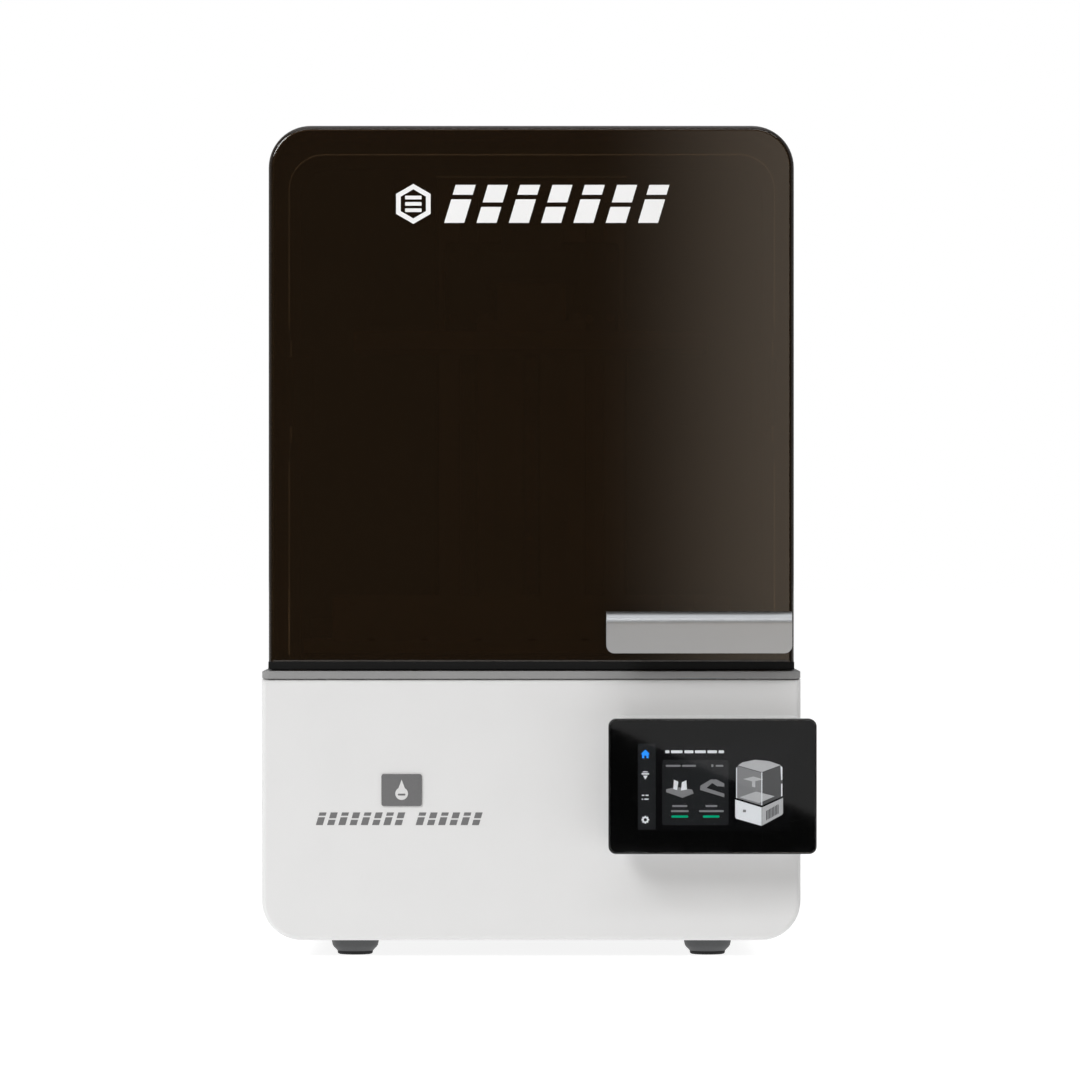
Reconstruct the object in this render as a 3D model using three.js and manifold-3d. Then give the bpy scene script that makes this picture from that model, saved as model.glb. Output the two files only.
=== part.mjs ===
// Desktop resin 3D printer. A light engine, a lift drive and the electronics sit in the base. A resin vat,
// a build platform and its lift column stand on the deck, under a dark hood that flips open on side hinges.
// Millimetres: +X is to the right, -Y is the front, +Z is up.

import * as THREE from 'three';
import { mergeVertices } from 'three/addons/utils/BufferGeometryUtils.js';
import Module from 'manifold-3d';

// ---------------------------------------------------------------- driving dimensions

// Overall sizes
const BASE_WIDTH = 340;
const BASE_DEPTH = 320;
const DECK_HEIGHT = 180.5; // floor to the top of the deck plate
const OVERALL_HEIGHT = 525; // floor to the top of the hood

// Fits
const GAP = 0.3; // between pieces that touch
const RUNNING_GAP = 0.5; // around pieces that turn or slide

// Base housing, bottom plate and feet
const BASE_WALL = 3;
const BASE_CORNER = 25;
const BASE_FILLET = 3;
const BOTTOM_PLATE_THICKNESS = 1.2;
const BOTTOM_PLATE_INSET = 10; // from the base's front and rear faces
const BOTTOM_LEDGE = 6;
const FOOT_HEIGHT = 10.2;
const FOOT_RADIUS = 15.5;
const SOLE_RADIUS = 11;
const FOOT_INSET_X = 58;
const FOOT_INSET_Y = 35;
const SIDE_VENT_COUNT = 10;
const SIDE_VENT_HEIGHT = 3.5;
const SIDE_VENT_PITCH = 9;
const SIDE_VENT_LENGTH = 82;
const SIDE_VENT_DROP = 30; // base top to the top slot

// Deck
const DECK_THICKNESS = 5;
const DECK_CORNER = 5;
const DECK_EDGE = 0.8;

// Touch screen
const DISPLAY_WIDTH = 103;
const DISPLAY_HEIGHT = 63;
const DISPLAY_THICKNESS = 4;
const SCREEN_BORDER_X = 13.75; // screen housing outside the display
const SCREEN_BORDER_Z = 10.85;
const SCREEN_DEPTH = 15.7;
const SCREEN_CORNER = 4.8;
const SCREEN_RIM = 0.8;
const SCREEN_WALL = 2;
const SCREEN_OVERHANG = 8.9; // past the base's right side
const SCREEN_DROP = 24.4; // deck underside to the screen's top edge
const SCREEN_BOSS_DEPTH = 14;
const GLASS_THICKNESS = 1.1;
const RIBBON_WIDTH = 24;
const RIBBON_THICKNESS = 0.5;

// Hood
const HOOD_INSET = 4; // inside the base's sides, front and rear
const HOOD_WALL = 3;
const HOOD_CORNER = 26.5;
const HOOD_FILLET = 3.5;
const HOOD_LIFT = 3.5; // deck to the hood's lower edge
const HOOD_REAR_CORNER = 34;
const GASKET_WIDTH = 4;
const GASKET_LIFT = 0.7;
const HANDLE_LENGTH = 116.7;
const HANDLE_HEIGHT = 26;
const HANDLE_REACH = 22;
const HANDLE_THICKNESS = 3;
const HANDLE_BEND = 6;
const HANDLE_INSET = 2; // from the hood's right side
const HANDLE_LIFT = 8; // above the hood's lower edge

// Hinges
const HINGE_FROM_REAR = 44;
const HINGE_ABOVE_MIDDLE = 5.5;
const HINGE_PIN_RADIUS = 5;
const HINGE_LEAF_THICKNESS = 3;
const HINGE_LEAF_DEPTH = 32;
const HINGE_LEAF_HEIGHT = 46;
const HINGE_BRACKET_WIDTH = 12;
const HINGE_BRACKET_HEIGHT = 50;

// Rear tower
const TOWER_INSET = 11; // inside the hood's sides
const TOWER_DEPTH = 60;
const TOWER_DROP = 13; // below the hood's top
const TOWER_WALL = 2.5;
const TOWER_CORNER = 20;

// Lift column, rails and screw
const COLUMN_WIDTH = 124;
const COLUMN_DEPTH = 40;
const COLUMN_WALL = 6;
const COLUMN_LIP = 8;
const COLUMN_SLOT = 48;
const COLUMN_STANDOUT = 6; // in front of the tower
const RAIL_SPACING = 84;
const RAIL_WIDTH = 12;
const RAIL_THICKNESS = 8;
const SCREW_RADIUS = 6;
const JOURNAL_RADIUS = 5;
const BEARING_WIDTH = 40;
const MOTOR_SIZE = 42;
const MOTOR_LENGTH = 47.7;
const MOTOR_BOSS_RADIUS = 11;
const MOTOR_SHAFT_RADIUS = 2.5;
const MOTOR_BRACKET_HEIGHT = 32.2;
const COUPLER_RADIUS = 9.5;

// Carriage and platform, heights above the platform's underside
const BLOCK_WIDTH = 27;
const BLOCK_LENGTH = 45;
const BLOCK_FACE = 4.4; // block material in front of its rail
const CARRIAGE_WIDTH = 116;
const CARRIAGE_THICKNESS = 10;
const CARRIAGE_BOTTOM = 16;
const CARRIAGE_TOP = 76;
const ARM_FLANGE = 6.4;
const ARM_WIDTH = 60;
const ARM_BOTTOM = 44;
const ARM_TOP = 64;
const PLATFORM_THICKNESS = 12;
const PLATFORM_ROOM_X = 10; // platform to the vat's inner wall
const PLATFORM_ROOM_Y = 13.5;
const CLAMP_KNOB_RADIUS = 20;
const CLAMP_KNOB_TOP = 84;
const TOP_ROOM = 18; // clamp knob to the hood with the platform at the top
const REST_DROP = 35; // parked platform below its highest place

// Vat and light path
const VAT_ROOM_SIDE = 18; // vat to the hood's inner sides
const VAT_ROOM_FRONT = 22.5;
const VAT_ROOM_REAR = 3.5;
const VAT_LIP_Y = 13;
const VAT_WALL = 3;
const VAT_FLANGE = 7.8;
const VAT_HEIGHT = 35.7;
const VAT_KNOB_RADIUS = 8;
const VAT_KNOB_ROOM = 1; // each side of the knob on the vat's side lip
const VAT_KNOB_HEIGHT = 13.6;
const STUD_RADIUS = 2.9;
const FILM_THICKNESS = 0.6;
const LCD_FRAME_HEIGHT = 7.8;
const LCD_THICKNESS = 1.2;
const LCD_BORDER = 8;
const LIGHT_WALL = 2.5;
const LIGHT_MARGIN = 6; // light housing outside the LCD window
const LIGHT_LIP_X = 60;
const LIGHT_LIP_Y = 26;
const LED_BOARD_THICKNESS = 1.6;
const HEAT_SINK_HEIGHT = 25.5;
const HEAT_SINK_PLATE = 7.5;
const FIN_COUNT = 13;
const FIN_THICKNESS = 3;
const LENS_THICKNESS = 2.5;
const LENS_DROP = 25; // below the light housing's top

// Fans
const HEAT_SINK_FAN_SIZE = 80;
const EXHAUST_FAN_SIZE = 60;
const FAN_DEPTH = 15;
const FAN_BLADES = 7;

// Electronics
const BOARD_FROM_FRONT = 25;
const BOARD_TO_SUPPLY = 33;
const SUPPLY_WIDTH = 115;
const SUPPLY_LENGTH = 90;
const SUPPLY_HEIGHT = 38;
const SUPPLY_FROM_REAR = 22;

// Rear connectors and side port
const INLET_X = 115;
const INLET_DROP = 97; // deck to the middle of the inlet and switch
const INLET_FLANGE = 2.5;
const SWITCH_X = 73;
const SWITCH_TILT = 8;
const ROCKER_HALF_HEIGHT = 11.5;
const USB_FROM_FRONT = 65;
const USB_DROP = 105;

const CURVE_STEPS = 3; // each quarter turn of a shape has twice as many sides

// ---------------------------------------------------------------- places that follow from the sizes

const baseSide = BASE_WIDTH / 2;
const baseFront = -BASE_DEPTH / 2;
const baseRear = BASE_DEPTH / 2;
const baseBottom = FOOT_HEIGHT + GAP;
const deckBottom = DECK_HEIGHT - DECK_THICKNESS;
const baseTop = deckBottom - GAP;
const plateHalfWidth = baseSide - BASE_CORNER - 2;
const plateHalfDepth = baseRear - BOTTOM_PLATE_INSET;

const screenWidth = DISPLAY_WIDTH + 2 * SCREEN_BORDER_X;
const screenHeight = DISPLAY_HEIGHT + 2 * SCREEN_BORDER_Z;
const screenRight = baseSide + SCREEN_OVERHANG;
const screenLeft = screenRight - screenWidth;
const screenTop = deckBottom - SCREEN_DROP;
const screenBottom = screenTop - screenHeight;
const bossFront = baseFront - SCREEN_BOSS_DEPTH;
const screenRear = bossFront - GAP;
const screenFront = screenRear - SCREEN_DEPTH;
const screenMiddle = (screenLeft + screenRight) / 2;
const displayX = screenMiddle + 0.5;
const displayZ = (screenBottom + screenTop) / 2;
const displayFront = screenFront + GLASS_THICKNESS + GAP;
const ribbonZ = displayZ - 10;

const hoodSide = baseSide - HOOD_INSET;
const hoodFront = baseFront + HOOD_INSET;
const hoodRear = baseRear - HOOD_INSET;
const hoodBottom = DECK_HEIGHT + HOOD_LIFT;
const hoodInnerSide = hoodSide - HOOD_WALL;
const hoodInnerTop = OVERALL_HEIGHT - HOOD_WALL;

const onDeck = DECK_HEIGHT + GAP;
const towerSide = hoodSide - TOWER_INSET;
const towerFront = hoodRear - TOWER_DEPTH;
const towerTop = OVERALL_HEIGHT - TOWER_DROP;
const towerSlot = COLUMN_WIDTH / 2 + 2;

const pivotY = hoodRear - HINGE_FROM_REAR;
const pivotZ = (hoodBottom + OVERALL_HEIGHT) / 2 + HINGE_ABOVE_MIDDLE;
const leafOuter = hoodInnerSide - GAP;
const leafInner = leafOuter - HINGE_LEAF_THICKNESS;
const bracketOuter = leafInner - 0.8;
const bracketInner = bracketOuter - HINGE_BRACKET_WIDTH;
const bracketFront = towerFront - 4;
const bracketRear = pivotY + 18;
const bracketBottom = pivotZ - HINGE_BRACKET_HEIGHT / 2;
const bracketTop = pivotZ + HINGE_BRACKET_HEIGHT / 2;

const columnFront = towerFront - COLUMN_STANDOUT;
const columnRear = columnFront + COLUMN_DEPTH;
const columnTop = towerTop - 7;
const channelFront = columnFront + COLUMN_LIP;
const channelRear = columnRear - COLUMN_WALL;
const screwY = (channelFront + channelRear) / 2;
const lowerBearingBottom = onDeck + 3.5;
const lowerBearingTop = lowerBearingBottom + 20;
const upperBearingTop = columnTop - 8;
const upperBearingBottom = upperBearingTop - 12;
const bracketPlate = 4;
const motorBracketBottom = baseTop - MOTOR_BRACKET_HEIGHT;
const couplerBottom = motorBracketBottom + bracketPlate + 2.5;
const couplerTop = baseTop - bracketPlate - 2.5;
const couplerMiddle = (couplerBottom + couplerTop) / 2;

const railRear = columnFront - GAP;
const railFront = railRear - RAIL_THICKNESS;
const blockFront = railFront - GAP - BLOCK_FACE;
const carriageRear = blockFront - GAP;
const carriageFront = carriageRear - CARRIAGE_THICKNESS;
const flangeRear = carriageFront - GAP;
const flangeFront = flangeRear - ARM_FLANGE;

const vatSide = hoodInnerSide - VAT_ROOM_SIDE;
const vatFront = hoodFront + HOOD_WALL + VAT_ROOM_FRONT;
const vatRear = flangeFront - VAT_ROOM_REAR;
const vatY = (vatFront + vatRear) / 2;
const vatHalfDepth = (vatRear - vatFront) / 2;
const vatKnobX = vatSide - VAT_KNOB_RADIUS - VAT_KNOB_ROOM;
const cavityX = vatKnobX - VAT_KNOB_RADIUS - VAT_KNOB_ROOM - VAT_WALL;
const cavityY = vatHalfDepth - VAT_LIP_Y - VAT_WALL;
const ringX = cavityX - 1;
const ringY = cavityY - 1;
const lcdFrameX = ringX - 1;
const lcdFrameY = ringY - 1;
const lcdX = lcdFrameX - 2;
const lcdY = lcdFrameY - 2;
const windowX = lcdX - LCD_BORDER;
const windowY = lcdY - LCD_BORDER;
const lcdBottom = onDeck + LCD_FRAME_HEIGHT + GAP;
const filmBottom = lcdBottom + LCD_THICKNESS + GAP;
const filmTop = filmBottom + FILM_THICKNESS;
const vatBottom = filmTop + GAP;
const vatTop = vatBottom + VAT_HEIGHT;
const flangeTop = vatBottom + VAT_FLANGE;

const lightX = windowX + LIGHT_MARGIN;
const lightY = windowY + LIGHT_MARGIN;
const ledOpeningX = lightX - LIGHT_LIP_X;
const ledOpeningY = lightY - LIGHT_LIP_Y;
const ledBoardX = ledOpeningX + 10;
const ledBoardY = ledOpeningY + 10;
const fanBottom = baseBottom + 4.5;
const heatSinkBottom = fanBottom + FAN_DEPTH + 4;
const heatSinkTop = heatSinkBottom + HEAT_SINK_HEIGHT;
const ledBoardBottom = heatSinkTop + GAP;
const ledBoardTop = ledBoardBottom + LED_BOARD_THICKNESS;
const lightBottom = ledBoardTop + GAP;
const lensTop = baseTop - LENS_DROP;
const lensBottom = lensTop - LENS_THICKNESS;

const platformX = cavityX - PLATFORM_ROOM_X;
const platformY = cavityY - PLATFORM_ROOM_Y;
const platformHighest = hoodInnerTop - TOP_ROOM - CLAMP_KNOB_TOP;
const platformRest = platformHighest - REST_DROP;

const supplyRight = baseSide - BASE_CORNER + 5;
const supplyRear = baseRear - SUPPLY_FROM_REAR;
const supplyFront = supplyRear - SUPPLY_LENGTH;
const boardFront = baseFront + BOARD_FROM_FRONT;
const boardRear = supplyFront - BOARD_TO_SUPPLY;

const inletZ = DECK_HEIGHT - INLET_DROP;
const rockerPivotY = baseRear - 2;
const exhaustX = -baseSide / 2;
const exhaustZ = (baseBottom + baseTop) / 2 + 18;

// ---------------------------------------------------------------- materials

function finish(color, roughness, metalness = 0) {
  return new THREE.MeshStandardMaterial({ color, roughness, metalness });
}

const whiteShell = finish(0xe6e6e6, 0.5);
const blackPlastic = finish(0x1b1b1d, 0.5);
const greyPlastic = finish(0x8d8f92, 0.55);
const rubber = finish(0x202020, 0.85);
const amberAcrylic = finish(0x2a1a0e, 0.12);
const glass = finish(0x0c0e12, 0.08);
const displayGlass = finish(0x1a2430, 0.2);
const aluminium = finish(0xb4b6b8, 0.35, 1);
const darkAluminium = finish(0x3b3d40, 0.45, 0.8);
const steel = finish(0xc3c5c8, 0.25, 1);
const blackSteel = finish(0x2a2b2d, 0.5, 0.7);
const circuitBoard = finish(0x1d5b34, 0.6);
const clearFilm = finish(0xd8dde0, 0.1);
const lensPlastic = finish(0xe2e6ea, 0.1);
const brass = finish(0xb08d4a, 0.35, 1);

// ---------------------------------------------------------------- solids

const wasm = await Module();
wasm.setup();

function toSolid(geometry) {
  const bare = geometry.clone();
  bare.deleteAttribute('normal');
  bare.deleteAttribute('uv');
  const merged = mergeVertices(bare);
  return new wasm.Manifold(new wasm.Mesh({
    numProp: 3,
    vertProperties: new Float32Array(merged.attributes.position.array),
    triVerts: new Uint32Array(merged.index.array),
  }));
}

function toGeometry(solid) {
  const mesh = solid.getMesh();
  const geometry = new THREE.BufferGeometry();
  geometry.setAttribute('position', new THREE.BufferAttribute(mesh.vertProperties, 3));
  geometry.setIndex(new THREE.BufferAttribute(mesh.triVerts, 1));
  return geometry;
}

function join(...geometries) {
  return toGeometry(geometries.map(toSolid).reduce((whole, piece) => whole.add(piece)));
}

function cut(body, ...tools) {
  return toGeometry(tools.map(toSolid).reduce((rest, tool) => rest.subtract(tool), toSolid(body)));
}

function common(first, second) {
  return toGeometry(toSolid(first).intersect(toSolid(second)));
}

// ---------------------------------------------------------------- outlines and simple bodies

// A rectangle with round corners, centred on (x, y).
function roundedRect(halfWidth, halfHeight, radius, x = 0, y = 0) {
  const right = x + halfWidth - radius;
  const left = x - halfWidth + radius;
  const top = y + halfHeight - radius;
  const bottom = y - halfHeight + radius;
  const shape = new THREE.Shape();
  shape.absarc(right, top, radius, 0, Math.PI / 2);
  shape.absarc(left, top, radius, Math.PI / 2, Math.PI);
  shape.absarc(left, bottom, radius, Math.PI, Math.PI * 1.5);
  shape.absarc(right, bottom, radius, Math.PI * 1.5, Math.PI * 2);
  shape.closePath();
  return shape;
}

// A closed outline through straight corners.
function polygon(points) {
  return new THREE.Shape(points.map(([x, y]) => new THREE.Vector2(x, y)));
}

// A round outline with shallow lobes, for a knob that fingers turn.
function lobedOutline(radius, lobes, dip) {
  const steps = lobes * 6;
  const shape = new THREE.Shape();
  for (let step = 0; step < steps; step += 1) {
    const angle = (step / steps) * Math.PI * 2;
    const reach = radius - dip * (0.5 - 0.5 * Math.cos(lobes * angle));
    const x = reach * Math.cos(angle);
    const y = reach * Math.sin(angle);
    if (step === 0) shape.moveTo(x, y);
    else shape.lineTo(x, y);
  }
  shape.closePath();
  return shape;
}

function extrude(shape, length, bevel) {
  const geometry = new THREE.ExtrudeGeometry(shape, {
    depth: length - 2 * bevel,
    bevelEnabled: bevel > 0,
    bevelThickness: bevel,
    bevelSize: bevel,
    bevelOffset: -bevel,
    bevelSegments: 2,
    curveSegments: CURVE_STEPS,
  });
  return geometry.translate(0, 0, bevel);
}

// An outline seen from above, standing from one height to another.
function upright(shape, bottom, top, bevel = 0) {
  return extrude(shape, top - bottom, bevel).translate(0, 0, bottom);
}

// An outline in X and Z, seen from the front, running from front to rear.
function frontal(shape, front, rear, bevel = 0) {
  return extrude(shape, rear - front, bevel).rotateX(Math.PI / 2).translate(0, rear, 0);
}

// An outline in Y and Z, seen from the right, running from left to right.
function sideways(shape, left, right, bevel = 0) {
  const turn = new THREE.Matrix4().makeBasis(
    new THREE.Vector3(0, 1, 0),
    new THREE.Vector3(0, 0, 1),
    new THREE.Vector3(1, 0, 0),
  );
  return extrude(shape, right - left, bevel).applyMatrix4(turn).translate(left, 0, 0);
}

function block(x0, x1, y0, y1, z0, z1) {
  const geometry = new THREE.BoxGeometry(Math.abs(x1 - x0), Math.abs(y1 - y0), Math.abs(z1 - z0));
  return geometry.translate((x0 + x1) / 2, (y0 + y1) / 2, (z0 + z1) / 2);
}

function postZ(radius, x, y, bottom, top, sides = 24) {
  const geometry = new THREE.CylinderGeometry(radius, radius, top - bottom, sides);
  return geometry.rotateX(Math.PI / 2).translate(x, y, (bottom + top) / 2);
}

function postX(radius, y, z, x0, x1, sides = 24) {
  const geometry = new THREE.CylinderGeometry(radius, radius, Math.abs(x1 - x0), sides);
  return geometry.rotateZ(Math.PI / 2).translate((x0 + x1) / 2, y, z);
}

function postY(radius, x, z, front, rear, sides = 24) {
  const geometry = new THREE.CylinderGeometry(radius, radius, rear - front, sides);
  return geometry.translate(x, (front + rear) / 2, z);
}

// A body turned about the Z axis from [radius, height] corners, from its bottom centre to its top centre.
function turned(corners, sides = 24) {
  const profile = corners.map(([radius, height]) => new THREE.Vector2(radius, height));
  return new THREE.LatheGeometry(profile, sides).rotateX(Math.PI / 2);
}

function place(group, name, geometry, material, x = 0, y = 0, z = 0) {
  const mesh = new THREE.Mesh(geometry, material);
  mesh.name = name;
  mesh.position.set(x, y, z);
  group.add(mesh);
  return mesh;
}

// ---------------------------------------------------------------- base

function baseOutline(inset, top) {
  const side = baseSide - inset;
  const radius = BASE_CORNER - inset;
  const centre = baseBottom + BASE_CORNER;
  const shape = new THREE.Shape();
  shape.moveTo(side, top);
  shape.lineTo(-side, top);
  shape.absarc(-side + radius, centre, radius, Math.PI, Math.PI * 1.5);
  shape.absarc(side - radius, centre, radius, Math.PI * 1.5, Math.PI * 2);
  shape.closePath();
  return shape;
}

function sideVents() {
  const middle = baseFront + BASE_DEPTH * 0.41;
  const slots = [];
  for (let index = 0; index < SIDE_VENT_COUNT; index += 1) {
    const top = baseTop - SIDE_VENT_DROP - index * SIDE_VENT_PITCH;
    for (const side of [-1, 1]) {
      const y0 = middle - SIDE_VENT_LENGTH / 2;
      const inside = side * (baseSide - BASE_CORNER);
      const outside = side * (baseSide + 1);
      slots.push(block(inside, outside, y0, y0 + SIDE_VENT_LENGTH, top - SIDE_VENT_HEIGHT, top));
    }
  }
  return slots;
}

// Horizontal slots that fill a circle in the rear wall behind the exhaust fan.
function exhaustGrille() {
  const radius = EXHAUST_FAN_SIZE / 2 - 3;
  const slots = [];
  for (let row = -4; row <= 4; row += 1) {
    const z = exhaustZ + row * 6;
    const reach = Math.sqrt(radius ** 2 - (Math.abs(row) * 6 + 1.5) ** 2);
    slots.push(block(exhaustX - reach, exhaustX + reach, baseRear - 10, baseRear + 1, z - 1.5, z + 1.5));
  }
  return slots;
}

function screenBoss() {
  const left = screenLeft + 5.6;
  const bottom = screenBottom + 3.6;
  const top = screenTop + 1.2;
  const halfWidth = (baseSide - left) / 2;
  const halfHeight = (top - bottom) / 2;
  const x = (left + baseSide) / 2;
  const z = (bottom + top) / 2;
  const rear = baseFront + BASE_WALL * 2;
  const slot = RIBBON_WIDTH / 2 + 1;
  return {
    body: frontal(roundedRect(halfWidth, halfHeight, 4, x, z), bossFront, rear, 1.5),
    hollow: block(left + 3, baseSide - 3, bossFront + 3, rear + 1, bottom + 3, top - 3),
    slot: block(screenMiddle - slot, screenMiddle + slot, bossFront - 1, rear, ribbonZ - 2, ribbonZ + 2),
  };
}

function baseHousing() {
  const over = 10;
  const boss = screenBoss();
  const outside = frontal(baseOutline(0, baseTop + over), baseFront, baseRear, BASE_FILLET);
  const plateTop = baseBottom + BOTTOM_PLATE_THICKNESS + GAP;
  const plateX = plateHalfWidth + GAP;
  const plateY = plateHalfDepth + GAP;
  const ledgeX = plateHalfWidth - BOTTOM_LEDGE;
  const ledgeY = plateHalfDepth - BOTTOM_LEDGE;
  const usbY = baseFront + USB_FROM_FRONT;
  const usbZ = DECK_HEIGHT - USB_DROP;
  return cut(
    join(outside, boss.body),
    block(-BASE_WIDTH, BASE_WIDTH, -BASE_DEPTH, BASE_DEPTH, baseTop, baseTop + over * 2),
    frontal(baseOutline(BASE_WALL, baseTop + over), baseFront + BASE_WALL, baseRear - BASE_WALL),
    boss.hollow,
    boss.slot,
    block(-plateX, plateX, -plateY, plateY, baseBottom - 1, plateTop),
    block(-ledgeX, ledgeX, -ledgeY, ledgeY, baseBottom, baseBottom + 2 * BASE_WALL),
    block(INLET_X - 14.3, INLET_X + 14.3, baseRear - 6, baseRear + 1, inletZ - 10.8, inletZ + 10.8),
    block(SWITCH_X - 8.3, SWITCH_X + 8.3, baseRear - 6, baseRear + 1, inletZ - 14.3, inletZ + 14.3),
    block(baseSide - 6, baseSide + 1, usbY - 7.2, usbY + 7.2, usbZ - 3.5, usbZ + 3.5),
    ...exhaustGrille(),
    ...sideVents(),
  );
}

function bottomPlate() {
  const slots = [];
  for (let row = -3; row <= 3; row += 1) {
    const y = vatY + row * 9;
    slots.push(block(-30, 30, y - 2, y + 2, baseBottom - 1, baseBottom + 5));
  }
  const outline = roundedRect(plateHalfWidth, plateHalfDepth, 0.5);
  return cut(upright(outline, baseBottom, baseBottom + BOTTOM_PLATE_THICKNESS), ...slots);
}

function foot() {
  return turned([
    [0, 0],
    [SOLE_RADIUS, 0],
    [SOLE_RADIUS + 1.2, FOOT_HEIGHT * 0.22],
    [FOOT_RADIUS - 1.3, FOOT_HEIGHT * 0.42],
    [FOOT_RADIUS - 0.6, FOOT_HEIGHT * 0.62],
    [FOOT_RADIUS, FOOT_HEIGHT],
    [0, FOOT_HEIGHT],
  ], 32);
}

function deckPlate() {
  const outline = roundedRect(baseSide, baseRear, DECK_CORNER);
  return cut(
    upright(outline, deckBottom, DECK_HEIGHT, DECK_EDGE),
    block(-windowX, windowX, vatY - windowY, vatY + windowY, deckBottom - 1, DECK_HEIGHT + 1),
    postZ(JOURNAL_RADIUS + 1.5, 0, screwY, deckBottom - 1, DECK_HEIGHT + 1),
    ...vatStudHoles(STUD_RADIUS + RUNNING_GAP),
  );
}

function mainboard() {
  const left = ledBoardX + 7;
  const right = baseSide - BASE_CORNER + 10;
  const bottom = baseBottom + 9.5;
  const top = bottom + 1.6;
  const plateTop = baseBottom + BOTTOM_PLATE_THICKNESS + GAP;
  const middle = (left + right) / 2;
  const length = boardRear - boardFront;
  const part = (x0, x1, from, to, height) => (
    block(x0, x1, boardFront + from * length, boardFront + to * length, top - 0.5, top + height)
  );
  const standoffs = [];
  for (const x of [left + 6, right - 25]) {
    for (const y of [boardFront + 8, boardRear - 8]) {
      standoffs.push(postZ(3, x, y, plateTop, bottom + 0.5, 12));
    }
  }
  return join(
    block(left, right, boardFront, boardRear, bottom, top),
    block(screenMiddle - 14, screenMiddle + 14, boardFront, boardFront + 10, top - 0.5, top + 6),
    part(middle - 14, middle + 14, 0.33, 0.52, 3),
    part(middle - 10, middle + 10, 0.61, 0.75, 9),
    part(right - 12, right - 4, 0.27, 0.73, 8),
    part(left + 4, left + 12, 0.2, 0.8, 7),
    ...standoffs,
  );
}

function powerSupply() {
  const left = supplyRight - SUPPLY_WIDTH;
  const bottom = baseBottom + BASE_WALL + 1.3;
  const top = bottom + SUPPLY_HEIGHT;
  const grooves = [];
  for (let index = 0; index < 8; index += 1) {
    const x = left + 14 + index * 12;
    grooves.push(block(x, x + 4, supplyFront + 12, supplyRear - 30, top - 1.5, top + 1));
  }
  const terminals = block(left + 8, supplyRight - 8, supplyRear - 16, supplyRear + 1, top - 14, top + 1);
  return cut(block(left, supplyRight, supplyFront, supplyRear, bottom, top), terminals, ...grooves);
}

function powerInlet() {
  const face = baseRear + GAP + INLET_FLANGE;
  const pins = [[0, 3.2], [-7, -2.6], [7, -2.6]].map(
    ([x, z]) => block(INLET_X + x - 1, INLET_X + x + 1, face - 17, face - 3, inletZ + z - 2, inletZ + z + 2),
  );
  const body = cut(
    join(
      frontal(roundedRect(25, 11.5, 4, INLET_X, inletZ), baseRear + GAP, face),
      block(INLET_X - 13.8, INLET_X + 13.8, face - 24, face - 1, inletZ - 10.3, inletZ + 10.3),
    ),
    block(INLET_X - 12, INLET_X + 12, face - 16, face + 1, inletZ - 8.2, inletZ + 8.2),
  );
  return join(body, ...pins);
}

function switchFrame() {
  const face = baseRear + GAP + 2;
  return cut(
    join(
      frontal(roundedRect(10.5, 16.5, 2, SWITCH_X, inletZ), baseRear + GAP, face),
      block(SWITCH_X - 7.8, SWITCH_X + 7.8, face - 22, face - 1, inletZ - 13.8, inletZ + 13.8),
    ),
    block(SWITCH_X - 6.5, SWITCH_X + 6.5, face - 20, face + 1, inletZ - 12.8, inletZ + 12.8),
    postX(1.9, rockerPivotY, inletZ, SWITCH_X - 7.3, SWITCH_X + 7.3, 16),
  );
}

// The rocker is drawn level about its own pivot, with a face that falls to the middle from both ends.
function switchRocker() {
  const end = ROCKER_HALF_HEIGHT;
  const shape = polygon([[-7, -5], [0, -end], [3.6, -end], [2.2, 0], [3.6, end], [0, end], [-7, 5]]);
  return join(sideways(shape, -6, 6), postX(1.5, 0, 0, -7, 7, 12));
}

function usbPort() {
  const y = baseFront + USB_FROM_FRONT;
  const z = DECK_HEIGHT - USB_DROP;
  const inner = baseSide - BASE_WALL - GAP;
  return cut(
    join(
      block(inner - 3, inner, y - 12, y + 12, z - 8, z + 8),
      block(inner - 14, baseSide - GAP, y - 6.9, y + 6.9, z - 3.2, z + 3.2),
    ),
    block(inner - 12, baseSide + 1, y - 6.3, y + 6.3, z - 2.6, z + 2.6),
  );
}

function frontBadge() {
  const outline = roundedRect(12.75, 10.1, 1.5, -baseSide + 88.2, DECK_HEIGHT - 75.1);
  return frontal(outline, baseFront - GAP - 0.8, baseFront - GAP);
}

// ---------------------------------------------------------------- touch screen

function screenOutline(inset) {
  const radius = SCREEN_CORNER - inset;
  const halfWidth = screenWidth / 2 - inset;
  const halfHeight = screenHeight / 2 - inset;
  return roundedRect(halfWidth, halfHeight, radius, screenMiddle, displayZ);
}

function screenHousing() {
  const edge = 2;
  const slot = RIBBON_WIDTH / 2 + 1;
  const inset = SCREEN_RIM - GAP;
  return cut(
    frontal(screenOutline(0), screenFront - edge, screenRear, edge),
    block(screenLeft - 1, screenRight + 1, screenFront - 10, screenFront, screenBottom - 1, screenTop + 1),
    frontal(screenOutline(inset), screenFront - 1, displayFront),
    frontal(screenOutline(SCREEN_RIM + SCREEN_WALL), screenFront - 1, screenRear - SCREEN_WALL),
    block(screenMiddle - slot, screenMiddle + slot, screenFront, screenRear + 1, ribbonZ - 2, ribbonZ + 2),
  );
}

function screenGlass() {
  return frontal(screenOutline(SCREEN_RIM), screenFront, screenFront + GLASS_THICKNESS);
}

function screenDisplay() {
  const x = DISPLAY_WIDTH / 2;
  const z = DISPLAY_HEIGHT / 2;
  const rear = displayFront + DISPLAY_THICKNESS;
  return block(displayX - x, displayX + x, displayFront, rear, displayZ - z, displayZ + z);
}

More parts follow.
